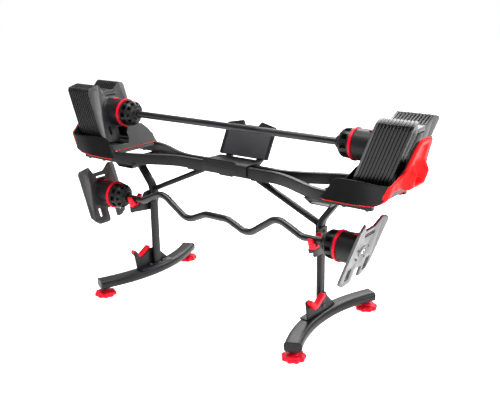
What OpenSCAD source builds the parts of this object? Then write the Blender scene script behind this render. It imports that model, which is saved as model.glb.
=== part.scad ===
// Adjustable barbell and curl bar on a free-standing rack.
// X runs along the bars, -Y is the front, Z is up, and the floor is z = 0.

/* [Bars] */
// Half the clear grip of each bar, from the middle to the dial
grip_half = 460; // [440:1:480]
// Diameter of both bars
bar_d = 25.4; // [24:0.1:30]
// Height of the barbell's axis when it is racked
barbell_z = 672; // [650:1:700]
// Height of the curl bar's straight ends when racked
curl_z = 355; // [340:1:360]
// How far in front of the rack's middle the curl bar hangs
curl_front = 80; // [76:1:86]
// Lean of the weight plates from upright
lean = 18.8; // [14:0.1:20]

/* [Plates] */
// Spacing of the loose plates along the bar
plate_pitch = 11.5; // [11:0.1:14]
// Thickness of each plate
plate_t = 8; // [6:0.5:8]
// Plates in the first set at each end
set_a = 2; // [1:1:3]
// Plates in the second set at each end
set_b = 3; // [2:1:4]
// Plates in the third set at each end
set_c = 5; // [3:1:5]

/* [Heads] */
// Outside diameter of each turning dial
dial_d = 100; // [94:1:100]
// Length of each dial
dial_l = 51; // [48:1:54]
// Outside diameter of each fixed housing
housing_d = 102; // [98:1:103]

/* [Stand] */
// Distance of each upright from the middle
upright_x = 390; // [380:1:396]
// Half the front-to-back spread of the base
base_reach = 254; // [240:1:280]
// Width of each base tube
base_w = 60; // [54:1:64]
// Diameter of each levelling wheel
wheel_d = 86; // [80:1:90]
// How far each levelling foot screws up
foot_travel = 6; // [3:1:6]

/* [Hidden] */
$fn = 64;

// fits, as the gap left all round or between faces
run_gap = 0.05;
hole_gap = 0.2;
free_gap = 0.4;

// base
base_h = 35;
base_wall = 3;
base_z = 50;
tube_top = base_z + base_h / 2;
tube_bot = base_z - base_h / 2;
base_sag = 58;
base_r = (base_reach * base_reach + base_sag * base_sag) / (2 * base_sag);
base_cx = upright_x + base_r;
base_turn = asin(base_reach / base_r);
cap_lip = 4;
bush_d = 18;
// the cap's plug stops short of the foot bush
foot_in = 16;
plug_l = foot_in - bush_d / 2 - 2;
foot_y = base_reach - foot_in;
foot_x = base_cx - sqrt(base_r * base_r - foot_y * foot_y);
foot_turn = asin(foot_y / base_r);
wheel_h = 22;
wheel_lobes = 9;
stud_d = 10;
bush_flange_d = 28;
bush_flange_t = 1.5;

// uprights
upright_w = 20;
upright_depth = 38;
upright_wall = 3;
bend_r = 60;
bend_turn = 38;
bend_z = barbell_z - 300;
beam_bot = barbell_z - 172;
beam_h = 40;
beam_top = beam_bot + beam_h;
beam_t = 20;
beam_in = 18;
beam_out = 110;
beam_end = grip_half + 180;
saddle_h = 22;
saddle_z = beam_bot - saddle_h;
plate_gauge = 4;

// side plates that carry the hooks, on the outside of each upright
side_x = upright_x + upright_w / 2;
hook_x = side_x + plate_gauge;
hook_w = 20;
low_z = tube_top;
rest_r = bar_d / 2 + 0.3;

// media rest
panel_y = 66;
panel_z = beam_top - 9;
panel_lean = 28.3;
panel_w = 222;
panel_t = 8;
leg_lift = 2;

// heads
head_x = grip_half + 125;
ring_t = 10;
ring_d = 108;
dial_x1 = grip_half + dial_l - free_gap;
ring_x = grip_half + dial_l;
housing_x = ring_x + ring_t;
housing_wall = 4;
end_plate_t = 8.5;
hub_d = 44;
hub_t = 3;
hub_bolt_d = 12;
button_w = 13;
button_l = 26;
button_travel = 4;
button_x = head_x - 13;
button_low = housing_d / 2 - 10;

// plate outline, as front-to-back and height from the bar's axis
cl = cos(lean);
shoulder = [-45, 102 / cl];
front_foot = [-83, -99 / cl];
back_top = [62, 103 / cl];
back_foot = [91, -103 / cl];
wing_turn = 15;
plate_low = 113;
plates = set_a + set_b + set_c;
stack_x = head_x + plates * plate_pitch;

// trays
tray_z = beam_top;
sheet_t = 4;
shell_t = 5;
rest_z = barbell_z - plate_low - 3.4;
tray_in = head_x - 107;
tray_out = stack_x - 10;
tray_half = 137;
wall_t = 12;
slab_x = stack_x + 28;
slab_half = 100;
slab_t = 6;
slab_back = 60;
slab_rise = 46;

// ---------- shared shapes ----------

// the same thing at both ends of the rack
module both() {
  children();
  mirror([1, 0, 0]) children();
}

// front and back copies
module front_back() {
  children();
  mirror([0, 1, 0]) children();
}

// flat oval, w across X and d across Y
module oval(w, d) {
  square([w, d - w], center = true);
  translate([0, (d - w) / 2]) circle(d = w);
  translate([0, (w - d) / 2]) circle(d = w);
}

// rectangle with round corners
module soft_rect(w, h, r) {
  square([w, h - 2 * r], center = true);
  square([w - 2 * r, h], center = true);
  for (a = [-1, 1], b = [-1, 1])
    translate([a * (w / 2 - r), b * (h / 2 - r)]) circle(r = r);
}

// a profile drawn as (x, z) and drawn out from y0 to y1
module along_y(y0, y1) {
  translate([0, y1, 0]) rotate([90, 0, 0]) linear_extrude(y1 - y0) children();
}

// a profile drawn as (y, z) and drawn out from x0 to x1
module along_x(x0, x1) {
  translate([x0, 0, 0]) rotate([90, 0, 90]) linear_extrude(x1 - x0) children();
}

// ---------- base ----------

module base_section(grow) {
  soft_rect(base_w + 2 * grow, base_h + 2 * grow, 12 + grow);
}

module base_sweep(r, turn) {
  translate([base_cx, 0, base_z])
    rotate([0, 0, 180 - turn])
      rotate_extrude(angle = 2 * turn, $fn = 180) translate([r, 0]) children();
}

module base_tube_right() {
  difference() {
    base_sweep(base_r, base_turn) base_section(0);
    base_sweep(base_r, base_turn + 1) base_section(-base_wall);
    for (s = [-1, 1]) translate([foot_x, s * foot_y, tube_bot - 1])
      cylinder(d = bush_d + 2 * hole_gap, h = 8);
    for (s = [-1, 1]) translate([upright_x, s * 34, tube_top - 6])
      cylinder(d = 8 + 2 * hole_gap, h = 8);
  }
}

module base_tubes() color([0.07, 0.07, 0.08]) both() base_tube_right();

// cap: a plug inside the tube and a thin lip on its end
module tube_cap_right(s) {
  translate([base_cx, 0, base_z]) rotate([0, 0, 180 + s * base_turn]) translate([base_r, 0, 0])
    rotate([-90 * s, 0, 0]) {
      linear_extrude(cap_lip) soft_rect(base_w, base_h, 12);
      translate([0, 0, -plug_l]) linear_extrude(plug_l)
        soft_rect(base_w - 2 * base_wall - 1, base_h - 2 * base_wall - 1, 8);
    }
}

module tube_caps() color([0.05, 0.05, 0.05]) both() for (s = [-1, 1]) tube_cap_right(s);

module foot_bush() {
  difference() {
    union() {
      translate([0, 0, tube_bot - bush_flange_t]) cylinder(d = bush_flange_d, h = bush_flange_t);
      translate([0, 0, tube_bot - 0.5]) cylinder(d = bush_d, h = 14);
    }
    translate([0, 0, tube_bot - 5]) cylinder(r = stud_d / 2 + run_gap, h = 30);
  }
}

module foot_bushes() color([0.1, 0.1, 0.1])
  both() front_back() translate([foot_x, foot_y, 0]) foot_bush();

// ---------- uprights, braces and beams ----------

// the flat-oval path of one upright, straight up and then leaning out to the saddle
module upright_path(grow) {
  translate([upright_x, 0, tube_top]) linear_extrude(bend_z - tube_top)
    oval(upright_w + 2 * grow, upright_depth + 2 * grow);
  translate([upright_x + bend_r, 0, bend_z]) mirror([1, 0, 0]) rotate([90, 0, 0])
    rotate_extrude(angle = bend_turn, $fn = 120) translate([bend_r, 0])
      oval(upright_w + 2 * grow, upright_depth + 2 * grow);
  translate([upright_x + bend_r * (1 - cos(bend_turn)), 0, bend_z + bend_r * sin(bend_turn)])
    rotate([0, bend_turn, 0]) linear_extrude(160) oval(upright_w + 2 * grow, upright_depth + 2 * grow);
}

module upright_right() {
  difference() {
    intersection() {
      upright_path(0);
      translate([upright_x - 100, -60, 0]) cube([300, 120, saddle_z]);
    }
    difference() {
      upright_path(-upright_wall);
      translate([upright_x - 60, -60, 0]) cube([120, 120, tube_top + 3]);
    }
    for (z = side_bolt_z()) translate([side_x - 8, 0, z]) rotate([0, 90, 0])
      cylinder(d = 8 + 2 * hole_gap, h = 20);
  }
}

function side_bolt_z() = [low_z + 20, low_z + 40, curl_z - 40, curl_z + 5];

module left_upright() color([0.07, 0.07, 0.08]) mirror([1, 0, 0]) upright_right();
module right_upright() color([0.07, 0.07, 0.08]) upright_right();

// brace from the upright's inner side up to the cross plate near the middle
brace_foot = upright_x - upright_w / 2;
brace_top_x = grip_half - 313;
brace_low = bend_z + 22;
brace_rise = beam_bot - plate_gauge - brace_low;
brace_run = brace_foot - 6 - brace_top_x;
brace_pitch = atan(brace_rise / brace_run);

module brace_right() {
  // tab against the upright
  translate([brace_foot - 6, -13, bend_z - 44]) cube([6, 26, 62]);
  intersection() {
    translate([brace_foot - 6, 0, brace_low - 8]) rotate([0, brace_pitch - 90, 0])
      translate([0, 0, -30]) linear_extrude(brace_run / cos(brace_pitch) + 60) oval(20, 28);
    translate([brace_top_x - 40, -40, bend_z - 60])
      cube([brace_foot - 6 - brace_top_x + 40, 80, beam_bot - plate_gauge - bend_z + 60]);
  }
}

module braces() color([0.07, 0.07, 0.08]) both() brace_right();

// plan of a beam's centre line, in toward the middle and out under the trays
function ease(t) = t <= 0 ? 0 : t >= 1 ? 1 : t * t * (3 - 2 * t);
function beam_y(x) = beam_in + (beam_out - beam_in) * ease((x - 200) / (grip_half + 20 - 200));
beam_steps = 20;
beam_xs = [for (i = [-beam_steps:beam_steps]) i < 0 ? -200 - (beam_end - 200) * (-i - 1) / (beam_steps - 1)
  : i > 0 ? 200 + (beam_end - 200) * (i - 1) / (beam_steps - 1) : 0];

module beam_plan() {
  n = len(beam_xs);
  polygon(concat(
    [for (i = [0:n - 1]) [beam_xs[i], beam_y(abs(beam_xs[i])) + beam_t / 2]],
    [for (i = [n - 1:-1:0]) [beam_xs[i], beam_y(abs(beam_xs[i])) - beam_t / 2]]));
}

tray_bolt_x = [tray_in + 62, tray_in + 142];

module rear_beam_shape() {
  difference() {
    translate([0, 0, beam_bot]) linear_extrude(beam_h) beam_plan();
    for (s = [-1, 1], x = tray_bolt_x) translate([s * x, beam_out, beam_bot - 1])
      cylinder(d = 8 + 2 * hole_gap, h = beam_h + 2);
  }
}

module front_beam() color([0.07, 0.07, 0.08]) mirror([0, 1, 0]) rear_beam_shape();
module rear_beam() color([0.07, 0.07, 0.08]) rear_beam_shape();

module cross_plates() color([0.07, 0.07, 0.08]) {
  both() translate([brace_top_x - 34, -26, beam_bot - plate_gauge]) cube([70, 52, plate_gauge]);
  translate([-30, -26, beam_bot - plate_gauge]) cube([60, 52, plate_gauge]);
}

// saddle: a shallow pan between the two beams that takes the upright's top
saddle_x = upright_x + bend_r * (1 - cos(bend_turn))
  + (saddle_z - bend_z - bend_r * sin(bend_turn)) * tan(bend_turn);

module saddle_right() {
  difference() {
    along_y(-104, 104) polygon([[saddle_x - 74, beam_bot], [saddle_x - 52, saddle_z],
      [saddle_x + 22, saddle_z], [saddle_x + 34, beam_bot]]);
    along_y(-99, 99) polygon([[saddle_x - 66, beam_bot + 1], [saddle_x - 49, saddle_z + 4],
      [saddle_x + 19, saddle_z + 4], [saddle_x + 29, beam_bot + 1]]);
    // the front and back ends slope under the beams
    for (s = [0, 1]) mirror([0, s, 0]) translate([saddle_x - 120, 104, beam_bot])
      rotate([-25, 0, 0]) translate([0, 0, -40]) cube([200, 40, 60]);
  }
}

module saddles() color([0.07, 0.07, 0.08]) both() saddle_right();

// ---------- hooks on the uprights ----------

// profile (y, z) of the lower side plate, standing on the base tube
module base_bracket_right() {
  difference() {
    union() {
      along_x(side_x, side_x + plate_gauge) polygon([[-100, low_z + plate_gauge],
        [-112, low_z + 72], [-98, low_z + 76], [-84, low_z + 46], [-70, low_z + 46],
        [-24, low_z + 68], [14, low_z + 68], [24, low_z + 50], [72, low_z + plate_gauge]]);
      difference() {
        translate([side_x - 30, -100, low_z]) cube([30 + plate_gauge, 172, plate_gauge]);
        translate([upright_x, 0, low_z - 1]) linear_extrude(10)
          oval(upright_w + 2 * hole_gap, upright_depth + 2 * hole_gap);
        for (s = [-1, 1]) translate([upright_x, s * 34, low_z - 1])
          cylinder(d = 8 + 2 * hole_gap, h = 8);
      }
    }
    for (z = [low_z + 20, low_z + 40]) translate([side_x - 1, 0, z]) rotate([0, 90, 0])
      cylinder(d = 8 + 2 * hole_gap, h = 8);
  }
}

module base_brackets() color([0.07, 0.07, 0.08]) both() base_bracket_right();

// red V insert beside the lower side plate
module lower_hook_right() {
  along_x(hook_x, hook_x + hook_w) polygon([[-108, low_z + 78], [-100, low_z + 80],
    [-80, low_z + 57], [-72, low_z + 55], [-30, low_z + 78], [-20, low_z + 78],
    [-20, low_z + 66], [-66, low_z + 40], [-84, low_z + 40], [-108, low_z + 66]]);
}

module lower_hooks() color([0.85, 0.06, 0.15]) both() lower_hook_right();

// V of the cradle: both arms leave the vee at vee_half from upright
vee_half = 34;
vee_y = -curl_front;
vee_z = curl_z - rest_r / sin(vee_half);
arm_front = 42;
arm_back = 48;

function arm(a, l, off) = [vee_y + l * sin(a) + off * cos(a), vee_z + l * cos(a) - off * sin(a)];

module cradle_hook_right() {
  along_x(hook_x, hook_x + hook_w) polygon([[vee_y, vee_z], arm(vee_half, arm_back, 0),
    arm(vee_half, arm_back, 8), [vee_y + 26, vee_z + 14], [vee_y + 18, vee_z - 8],
    [vee_y - 20, vee_z - 8], arm(-vee_half, arm_front, -8), arm(-vee_half, arm_front, 0)]);
}

module cradle_hooks() color([0.85, 0.06, 0.15]) both() cradle_hook_right();

module cradle_bracket_right() {
  // the web under the red insert turns down into an outer flange
  along_x(side_x + 1, hook_x + hook_w) polygon([[vee_y - 20, vee_z - 11.4],
    [vee_y + 46, vee_z - 11.4], [vee_y + 46, vee_z - 8.2], [vee_y - 20, vee_z - 8.2]]);
  along_x(hook_x + hook_w - 3.2, hook_x + hook_w - 0.3) polygon([[vee_y - 19, vee_z - 9],
    [vee_y + 45, vee_z - 9], [vee_y + 45, vee_z - 34], [vee_y - 12, vee_z - 34], [vee_y - 19, vee_z - 27]]);
  difference() {
    along_x(side_x, side_x + plate_gauge) polygon([[16, curl_z - 56], [-16, curl_z - 58],
      [vee_y - 10, vee_z - 26], [vee_y - 16, vee_z - 10], [vee_y - 10, vee_z - 2],
      [vee_y, vee_z - 6], [vee_y + 10, vee_z - 2], [vee_y + 40, vee_z + 42],
      [-16, curl_z + 22], [16, curl_z + 20]]);
    for (z = [curl_z - 40, curl_z + 5]) translate([side_x - 1, 0, z]) rotate([0, 90, 0])
      cylinder(d = 8 + 2 * hole_gap, h = 8);
  }
}

module cradle_brackets() color([0.07, 0.07, 0.08]) both() cradle_bracket_right();

// a bolt along +Z: head on top of z = 0 and its shank below
module bolt(shank) {
  cylinder(d = 14, h = 5);
  translate([0, 0, -shank]) cylinder(d = 8, h = shank);
}

module frame_bolts() color([0.12, 0.12, 0.13]) {
  both() {
    for (z = side_bolt_z()) translate([side_x + plate_gauge, 0, z]) rotate([0, 90, 0])
      bolt(plate_gauge + 3);
    for (s = [-1, 1]) translate([upright_x, s * 34, low_z + plate_gauge]) bolt(plate_gauge + 4);
    for (s = [-1, 1], x = tray_bolt_x) translate([x, s * beam_out, beam_bot])
      rotate([180, 0, 0]) bolt(beam_h + sheet_t + 2);
  }
}

// ---------- cover and media rest ----------

module centre_cover() color([0.06, 0.06, 0.06]) {
  difference() {
    translate([-100, -beam_in - beam_t / 2 - 6, beam_bot + 4])
      cube([200, 2 * (beam_in + beam_t / 2) + 12, beam_h + 3]);
    translate([-101, -beam_in - beam_t / 2, beam_bot - 1])
      cube([202, 2 * (beam_in + beam_t / 2), beam_h + 1]);
    // openings for the media rest's straps
    for (s = [-1, 1]) translate([s * 70 - 13 - free_gap, beam_in + beam_t / 2 - 1, beam_bot])
      cube([26 + 2 * free_gap, 8, beam_h]);
  }
  // shelf lip along the front edge
  translate([0, -beam_in - beam_t / 2 - 6, beam_top + 3]) rotate([-12, 0, 0])
    translate([-96, 0, -1]) cube([150, 5, 12]);
  // shelf reaching back to the panel
  translate([-96, beam_in + beam_t / 2, beam_top + 1]) cube([192, 36, 6]);
}

module lean_panel() {
  translate([0, panel_y, panel_z]) rotate([90 - panel_lean, 0, 0]) children();
}

module media_panel() color([0.16, 0.16, 0.17]) lean_panel() difference() {
  translate([0, 0, -panel_t]) linear_extrude(panel_t)
    polygon([[-110, 20], [110, 20], [111, 143], [41, 158], [32, 141], [-32, 141], [-41, 158],
      [-111, 143]]);
  // shallow face the device leans on
  translate([-100, 22, -2]) cube([200, 112, 4]);
}

module media_frame() color([0.05, 0.05, 0.05]) {
  lean_panel() for (s = [-1, 1]) translate([s * 70 - 13, 20, -panel_t - 6]) cube([26, 110, 6]);
  for (s = [-1, 1]) translate([s * 70 - 13, beam_in + beam_t / 2, beam_top - 36]) {
    cube([26, 6, 30]);
  }
  for (s = [-1, 1]) along_strip(s * 70 - 13, s * 70 + 13);
}

// strap from the rear beam back to the panel's legs, as a profile in (y, z)
module along_strip(x0, x1) {
  y0 = beam_in + beam_t / 2;
  ty = sin(panel_lean);
  tz = cos(panel_lean);
  ly = panel_y + 30 * ty + panel_t * tz;
  lz = panel_z + 30 * tz - panel_t * ty;
  along_x(x0, x1) polygon([[y0, beam_top - 36], [y0 + 6, beam_top - 36],
    [ly + 8, lz - 14], [ly + 5.2, lz - 2.8], [ly + 0.6, lz], [ly - 6.8, lz - 14], [y0 + 6, beam_top - 26],
    [y0, beam_top - 26]]);
}

// ---------- trays ----------

// everything of the tray that leans with the plates, as a slab drawn in (y, height)
module leaning(x, t) {
  translate([x, 0, barbell_z]) rotate([0, lean, 0]) rotate([90, 0, 90]) linear_extrude(t) children();
}

low_out = tray_z + sheet_t;

// lower part of the outboard wall, as a profile in (x, z)
module low_wall() {
  polygon([[tray_out - 12, low_out + 0.7], [tray_out - 2, low_out + 4], [tray_out + 10, tray_z + 44],
    [tray_out + 10, tray_z + 50], [tray_out + 3, tray_z + 50], [tray_out - 10, low_out + 8]]);
}

module tray_right() {
  difference() {
    union() {
      // front and back walls
      for (s = [-1, 1]) translate([0, s > 0 ? tray_half - wall_t : -tray_half, 0])
        along_y(0, wall_t) polygon([[tray_in, tray_z - 23], [tray_in + 170, tray_z - 23],
          [tray_out - 10, low_out - 3], [tray_out - 1, low_out + 4], [tray_out + 11, tray_z + 44],
          [tray_out + 11, tray_z + 50], [tray_in + 40, tray_z + 50], [tray_in + 4, tray_z]]);
      // floor
      translate([tray_in + 5, -tray_half + 2, low_out])
        cube([tray_out - tray_in - 12, 2 * tray_half - 4, shell_t]);
      // rails the plates stand on
      for (s = [-1, 1]) translate([tray_in + 40, s * 58 - 7, low_out + 1])
        cube([tray_out - tray_in - 56, 14, rest_z - low_out - 1]);
      along_y(-tray_half + 1, tray_half - 1) low_wall();
    }
    for (s = [-1, 1], x = tray_bolt_x) translate([x, s * beam_out, low_out - 1])
      cylinder(d = 8 + 2 * hole_gap, h = 4);
  }
  // inboard wall, with a low scoop in front and a hump behind
  translate([tray_in + 1, 0, low_out + 4]) rotate([0, 38, 0]) rotate([90, 0, 90]) linear_extrude(shell_t)
    polygon([[-tray_half + 5, 0], [-tray_half + 5, 56], [-112, 58], [-84, 30], [-50, 20], [-10, 34],
      [10, 74], [30, 96], [66, 90], [100, 48], [tray_half - 5, 40], [tray_half - 5, 0]]);
  // leaning outboard slab behind the last plate
  difference() {
    leaning(slab_x, slab_t) polygon([[-slab_half, -112], [-slab_half, -82], [-slab_back - 6, -44],
      [-slab_back, slab_rise - 14], [-slab_back + 12, slab_rise], [slab_back - 12, slab_rise],
      [slab_back, slab_rise - 14], [slab_back + 6, -44], [slab_half, -82], [slab_half, -112]]);
    translate([tray_out - 60, -200, 0]) cube([200, 400, low_out + shell_t]);
  }
}

module left_tray() color([0.06, 0.06, 0.06]) mirror([1, 0, 0]) tray_right();
module right_tray() color([0.06, 0.06, 0.06]) tray_right();

// red underlay: a thin sheet under the tray, an outboard panel and a lifting lobe
module tray_base_right() {
  difference() {
    translate([tray_in - 2, -tray_half + wall_t + 0.2, tray_z])
      cube([tray_out - tray_in - 8, 2 * (tray_half - wall_t) - 0.4, sheet_t]);
    for (s = [-1, 1], x = tray_bolt_x) translate([x, s * beam_out, tray_z - 1])
      cylinder(d = 8 + 2 * hole_gap, h = sheet_t + 2);
  }
  difference() {
    leaning(slab_x + slab_t / cl + 0.02, 8) polygon([[-100, -82], [-66, -44], [-52, 20], [-42, 45],
      [42, 45], [52, 20], [66, -44], [100, -82]]);
    hand_recess();
  }
  difference() {
    along_y(-55, 55) polygon([[slab_x - 4, barbell_z - 40], [slab_x + 8, barbell_z - 64],
      [slab_x - 6, barbell_z - 102], [slab_x - 38, barbell_z - 126], [tray_out - 6, low_out - 4],
      [tray_out + 4, tray_z + 50]]);
    along_y(-60, 60) low_wall();
    hand_recess();
    // keep clear of the slab and the lower wall it wraps
    leaning(slab_x - 40, 46) square([240, 400], center = true);
  }
}

module hand_recess() {
  translate([slab_x + 40, 0, barbell_z - 40]) rotate([0, lean, 0]) translate([0, 0, -60])
    linear_extrude(150) circle(d = 56);
}

module left_tray_base() color([0.9, 0.12, 0.12]) mirror([1, 0, 0]) tray_base_right();
module right_tray_base() color([0.9, 0.12, 0.12]) tray_base_right();

// ---------- levelling feet ----------

module foot_at(sx, sy) {
  translate([sx * foot_x, sy * foot_y, 0]) children();
}

module stud_shape() {
  translate([0, 0, 4]) cylinder(d = stud_d, h = base_z + 2);
}

module wheel_shape() {
  difference() {
    union() {
      translate([0, 0, 0]) cylinder(d = wheel_d - 16, h = wheel_h - 4);
      for (i = [0:wheel_lobes - 1]) rotate([0, 0, i * 360 / wheel_lobes])
        translate([wheel_d / 2 - 11, 0, 0]) cylinder(d = 22, h = wheel_h - 6);
      cylinder(d = 34, h = wheel_h);
    }
    translate([0, 0, 4 - run_gap]) cylinder(r = stud_d / 2 + run_gap, h = wheel_h);
  }
}

module foot_stud_lf() color([0.1, 0.1, 0.1]) foot_at(-1, -1) stud_shape();
module foot_stud_lb() color([0.1, 0.1, 0.1]) foot_at(-1, 1) stud_shape();
module foot_stud_rf() color([0.1, 0.1, 0.1]) foot_at(1, -1) stud_shape();
module foot_stud_rb() color([0.1, 0.1, 0.1]) foot_at(1, 1) stud_shape();
module foot_wheel_lf() color([0.85, 0.06, 0.15]) foot_at(-1, -1) wheel_shape();
module foot_wheel_lb() color([0.85, 0.06, 0.15]) foot_at(-1, 1) wheel_shape();
module foot_wheel_rf() color([0.85, 0.06, 0.15]) foot_at(1, -1) wheel_shape();
module foot_wheel_rb() color([0.85, 0.06, 0.15]) foot_at(1, 1) wheel_shape();

// ---------- plates ----------

// one folded plate in its own frame: x is front to back, y is height, z is outward
module plate_flat(t) {
  linear_extrude(t) polygon([shoulder, [-22, 84 / cl], [26, 84 / cl], back_top, back_foot,
    [55, -108 / cl], [33, -109 / cl], [33, -62 / cl], [-7, -62 / cl], [-7, -112 / cl],
    [-62, -plate_low / cl], front_foot]);
  wing(t, -wing_turn, shoulder, front_foot) polygon([[-43.5, 100 / cl], [-88, 94 / cl],
    [-94, 84 / cl], [-98, -80 / cl], [-81.5, -98 / cl]]);
  wing(t, wing_turn, back_top, back_foot) polygon([[60.5, 101 / cl], [92, 98 / cl],
    [98, 90 / cl], [100, -92 / cl], [89.5, -101 / cl]]);
}

// a wing turned about its fold, from the point a down to the point b
module wing(t, turn, a, b) {
  wing_t = t - 0.5;
  translate([a[0], a[1], t / 2]) rotate(a = turn, v = [b[0] - a[0], b[1] - a[1], 0])
    translate([-a[0], -a[1], -wing_t / 2]) linear_extrude(wing_t) children();
}

module stand_plate(x, y, z) {
  translate([x, y, z]) rotate([0, lean, 0]) rotate([90, 0, 90]) children();
}

module plate_set(first, count) {
  for (i = [first:first + count - 1])
    stand_plate(head_x + i * plate_pitch, 0, barbell_z) plate_flat(plate_t);
}

module left_plates_a() color([0.2, 0.2, 0.21]) mirror([1, 0, 0]) plate_set(1, set_a);
module left_plates_b() color([0.2, 0.2, 0.21]) mirror([1, 0, 0]) plate_set(1 + set_a, set_b);
module left_plates_c() color([0.2, 0.2, 0.21]) mirror([1, 0, 0]) plate_set(1 + set_a + set_b, set_c);
module right_plates_a() color([0.2, 0.2, 0.21]) plate_set(1, set_a);
module right_plates_b() color([0.2, 0.2, 0.21]) plate_set(1 + set_a, set_b);
module right_plates_c() color([0.2, 0.2, 0.21]) plate_set(1 + set_a + set_b, set_c);

// ---------- heads ----------

// a head is drawn with its axis on y = 0, z = 0 and moved to the bar
module on_bar(y, z) {
  translate([0, y, z]) children();
}

// half space inboard of the leaning end plate, cut back by a gap
module inboard_of_plate(gap) {
  translate([head_x, 0, 0]) rotate([0, lean, 0]) translate([-400 - gap, -200, -200])
    cube([400, 400, 400]);
}

module rod_x(d, x0, x1) {
  translate([x0, 0, 0]) rotate([0, 90, 0]) cylinder(d = d, h = x1 - x0);
}

module hub_axis() {
  translate([head_x, 0, 0]) rotate([0, 90 + lean, 0]) children();
}

module shaft_end() {
  difference() {
    intersection() {
      rod_x(bar_d, grip_half - 20, head_x + 20);
      inboard_of_plate(0);
    }
    hub_axis() translate([0, 0, -24]) cylinder(d = hub_bolt_d + 2 * hole_gap, h = 60);
  }
}

module end_plate() {
  difference() {
    stand_plate(head_x, 0, 0) plate_flat(end_plate_t);
    hub_axis() translate([0, 0, end_plate_t - hub_t]) cylinder(d = hub_d + 2 * hole_gap, h = 20);
    hub_axis() translate([0, 0, -5]) cylinder(d = hub_bolt_d + 2 * hole_gap, h = 30);
  }
}

module end_plates(y, z) on_bar(y, z) both() end_plate();

module hub_bolt() {
  hub_axis() translate([0, 0, end_plate_t - hub_t]) cylinder(d = hub_d, h = hub_t + 0.6);
  hub_axis() translate([0, 0, -20]) cylinder(d = hub_bolt_d, h = 20 + end_plate_t - hub_t);
}

module housing() {
  difference() {
    intersection() {
      rod_x(housing_d, housing_x, head_x + 60);
      inboard_of_plate(0);
    }
    rod_x(housing_d - 2 * housing_wall, housing_x + 4, head_x + 60);
    rod_x(60, housing_x - 1, housing_x + 10);
    button_cut(hole_gap + 0.1);
  }
}

module button_cut(gap) {
  translate([button_x, 0, button_low - 1]) linear_extrude(40) rotate([0, 0, 90])
    oval(button_w + 2 * gap, button_l + 2 * gap);
}

module button_shape() {
  translate([button_x, 0, button_low]) linear_extrude(11.5) rotate([0, 0, 90])
    oval(button_w, button_l);
}

module ring() {
  difference() {
    rod_x(ring_d, ring_x, ring_x + ring_t);
    rod_x(60, ring_x - 1, ring_x + ring_t + 1);
  }
}

module dial() {
  difference() {
    union() {
      rod_x(dial_d, grip_half, dial_x1);
      rod_x(44, grip_half - 12, grip_half + 1);
    }
    rod_x(bar_d + 2 * run_gap, grip_half - 20, dial_x1 + 5);
    for (i = [0:8]) rotate([i * 40, 0, 0]) {
      translate([grip_half - 1, 0, dial_d / 2 + 3]) rotate([0, 90, 0]) cylinder(d = 18, h = dial_l - 12);
      rotate([20, 0, 0]) translate([grip_half - 1, -7, 27]) cube([9, 14, 14]);
    }
  }
}

// sleeve and cams that turn with the dial, inside the housing
module selector() {
  difference() {
    union() {
      rod_x(44, dial_x1, housing_x + 30);
      for (i = [0:2]) translate([housing_x + 6 + 9 * i, 0, 0]) difference() {
        rod_x(70, 0, 5);
        rotate([90 + 60 * i, 0, 0]) translate([-1, -8, 26]) cube([7, 16, 12]);
      }
    }
    rod_x(bar_d + 2 * run_gap, dial_x1 - 5, head_x);
  }
}

module barbell_shaft() color([0.08, 0.08, 0.08]) on_bar(0, barbell_z) {
  rod_x(bar_d, -(grip_half - 20), grip_half - 20);
  both() shaft_end();
}

module barbell_housings() color([0.06, 0.06, 0.06]) on_bar(0, barbell_z) both() housing();
module barbell_rings() color([0.85, 0.06, 0.15]) on_bar(0, barbell_z) both() ring();
module barbell_hub_bolts() color([0.8, 0.8, 0.8]) on_bar(0, barbell_z) both() hub_bolt();
module barbell_end_plates() color([0.22, 0.22, 0.23]) end_plates(0, barbell_z);
module barbell_dial_l() color([0.06, 0.06, 0.06]) on_bar(0, barbell_z) mirror([1, 0, 0]) dial();
module barbell_dial_r() color([0.06, 0.06, 0.06]) on_bar(0, barbell_z) dial();
module barbell_selector_l() color([0.5, 0.5, 0.5]) on_bar(0, barbell_z) mirror([1, 0, 0]) selector();
module barbell_selector_r() color([0.5, 0.5, 0.5]) on_bar(0, barbell_z) selector();
module barbell_button_l() color([0.85, 0.06, 0.15]) on_bar(0, barbell_z) mirror([1, 0, 0]) button_shape();
module barbell_button_r() color([0.85, 0.06, 0.15]) on_bar(0, barbell_z) button_shape();

// ---------- curl bar ----------

// the bends of the curl bar as (x, height) from its straight ends
knee_r = 60;
knee_more = 0.4;
curl_pts = [[0, 2], [52, 2], [140, -36], [265, 48], [365, 0], [grip_half - 20, 0]];

function seg_a(i) = atan2(curl_pts[i + 1][1] - curl_pts[i][1], curl_pts[i + 1][0] - curl_pts[i][0]);
function seg_l(i) = norm(curl_pts[i + 1] - curl_pts[i]);
function turn_at(i) = seg_a(i) - seg_a(i - 1);
function trim_at(i) = i <= 0 || i >= len(curl_pts) - 1 ? 0 : knee_r * tan(abs(turn_at(i)) / 2);

module curl_straight(i) {
  a = seg_a(i);
  t0 = trim_at(i);
  l = seg_l(i) - t0 - trim_at(i + 1);
  translate([curl_pts[i][0] + t0 * cos(a), 0, curl_pts[i][1] + t0 * sin(a)]) rotate([0, 90 - a, 0])
    translate([0, 0, -0.5]) cylinder(d = bar_d, h = l + 1);
}

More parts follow.
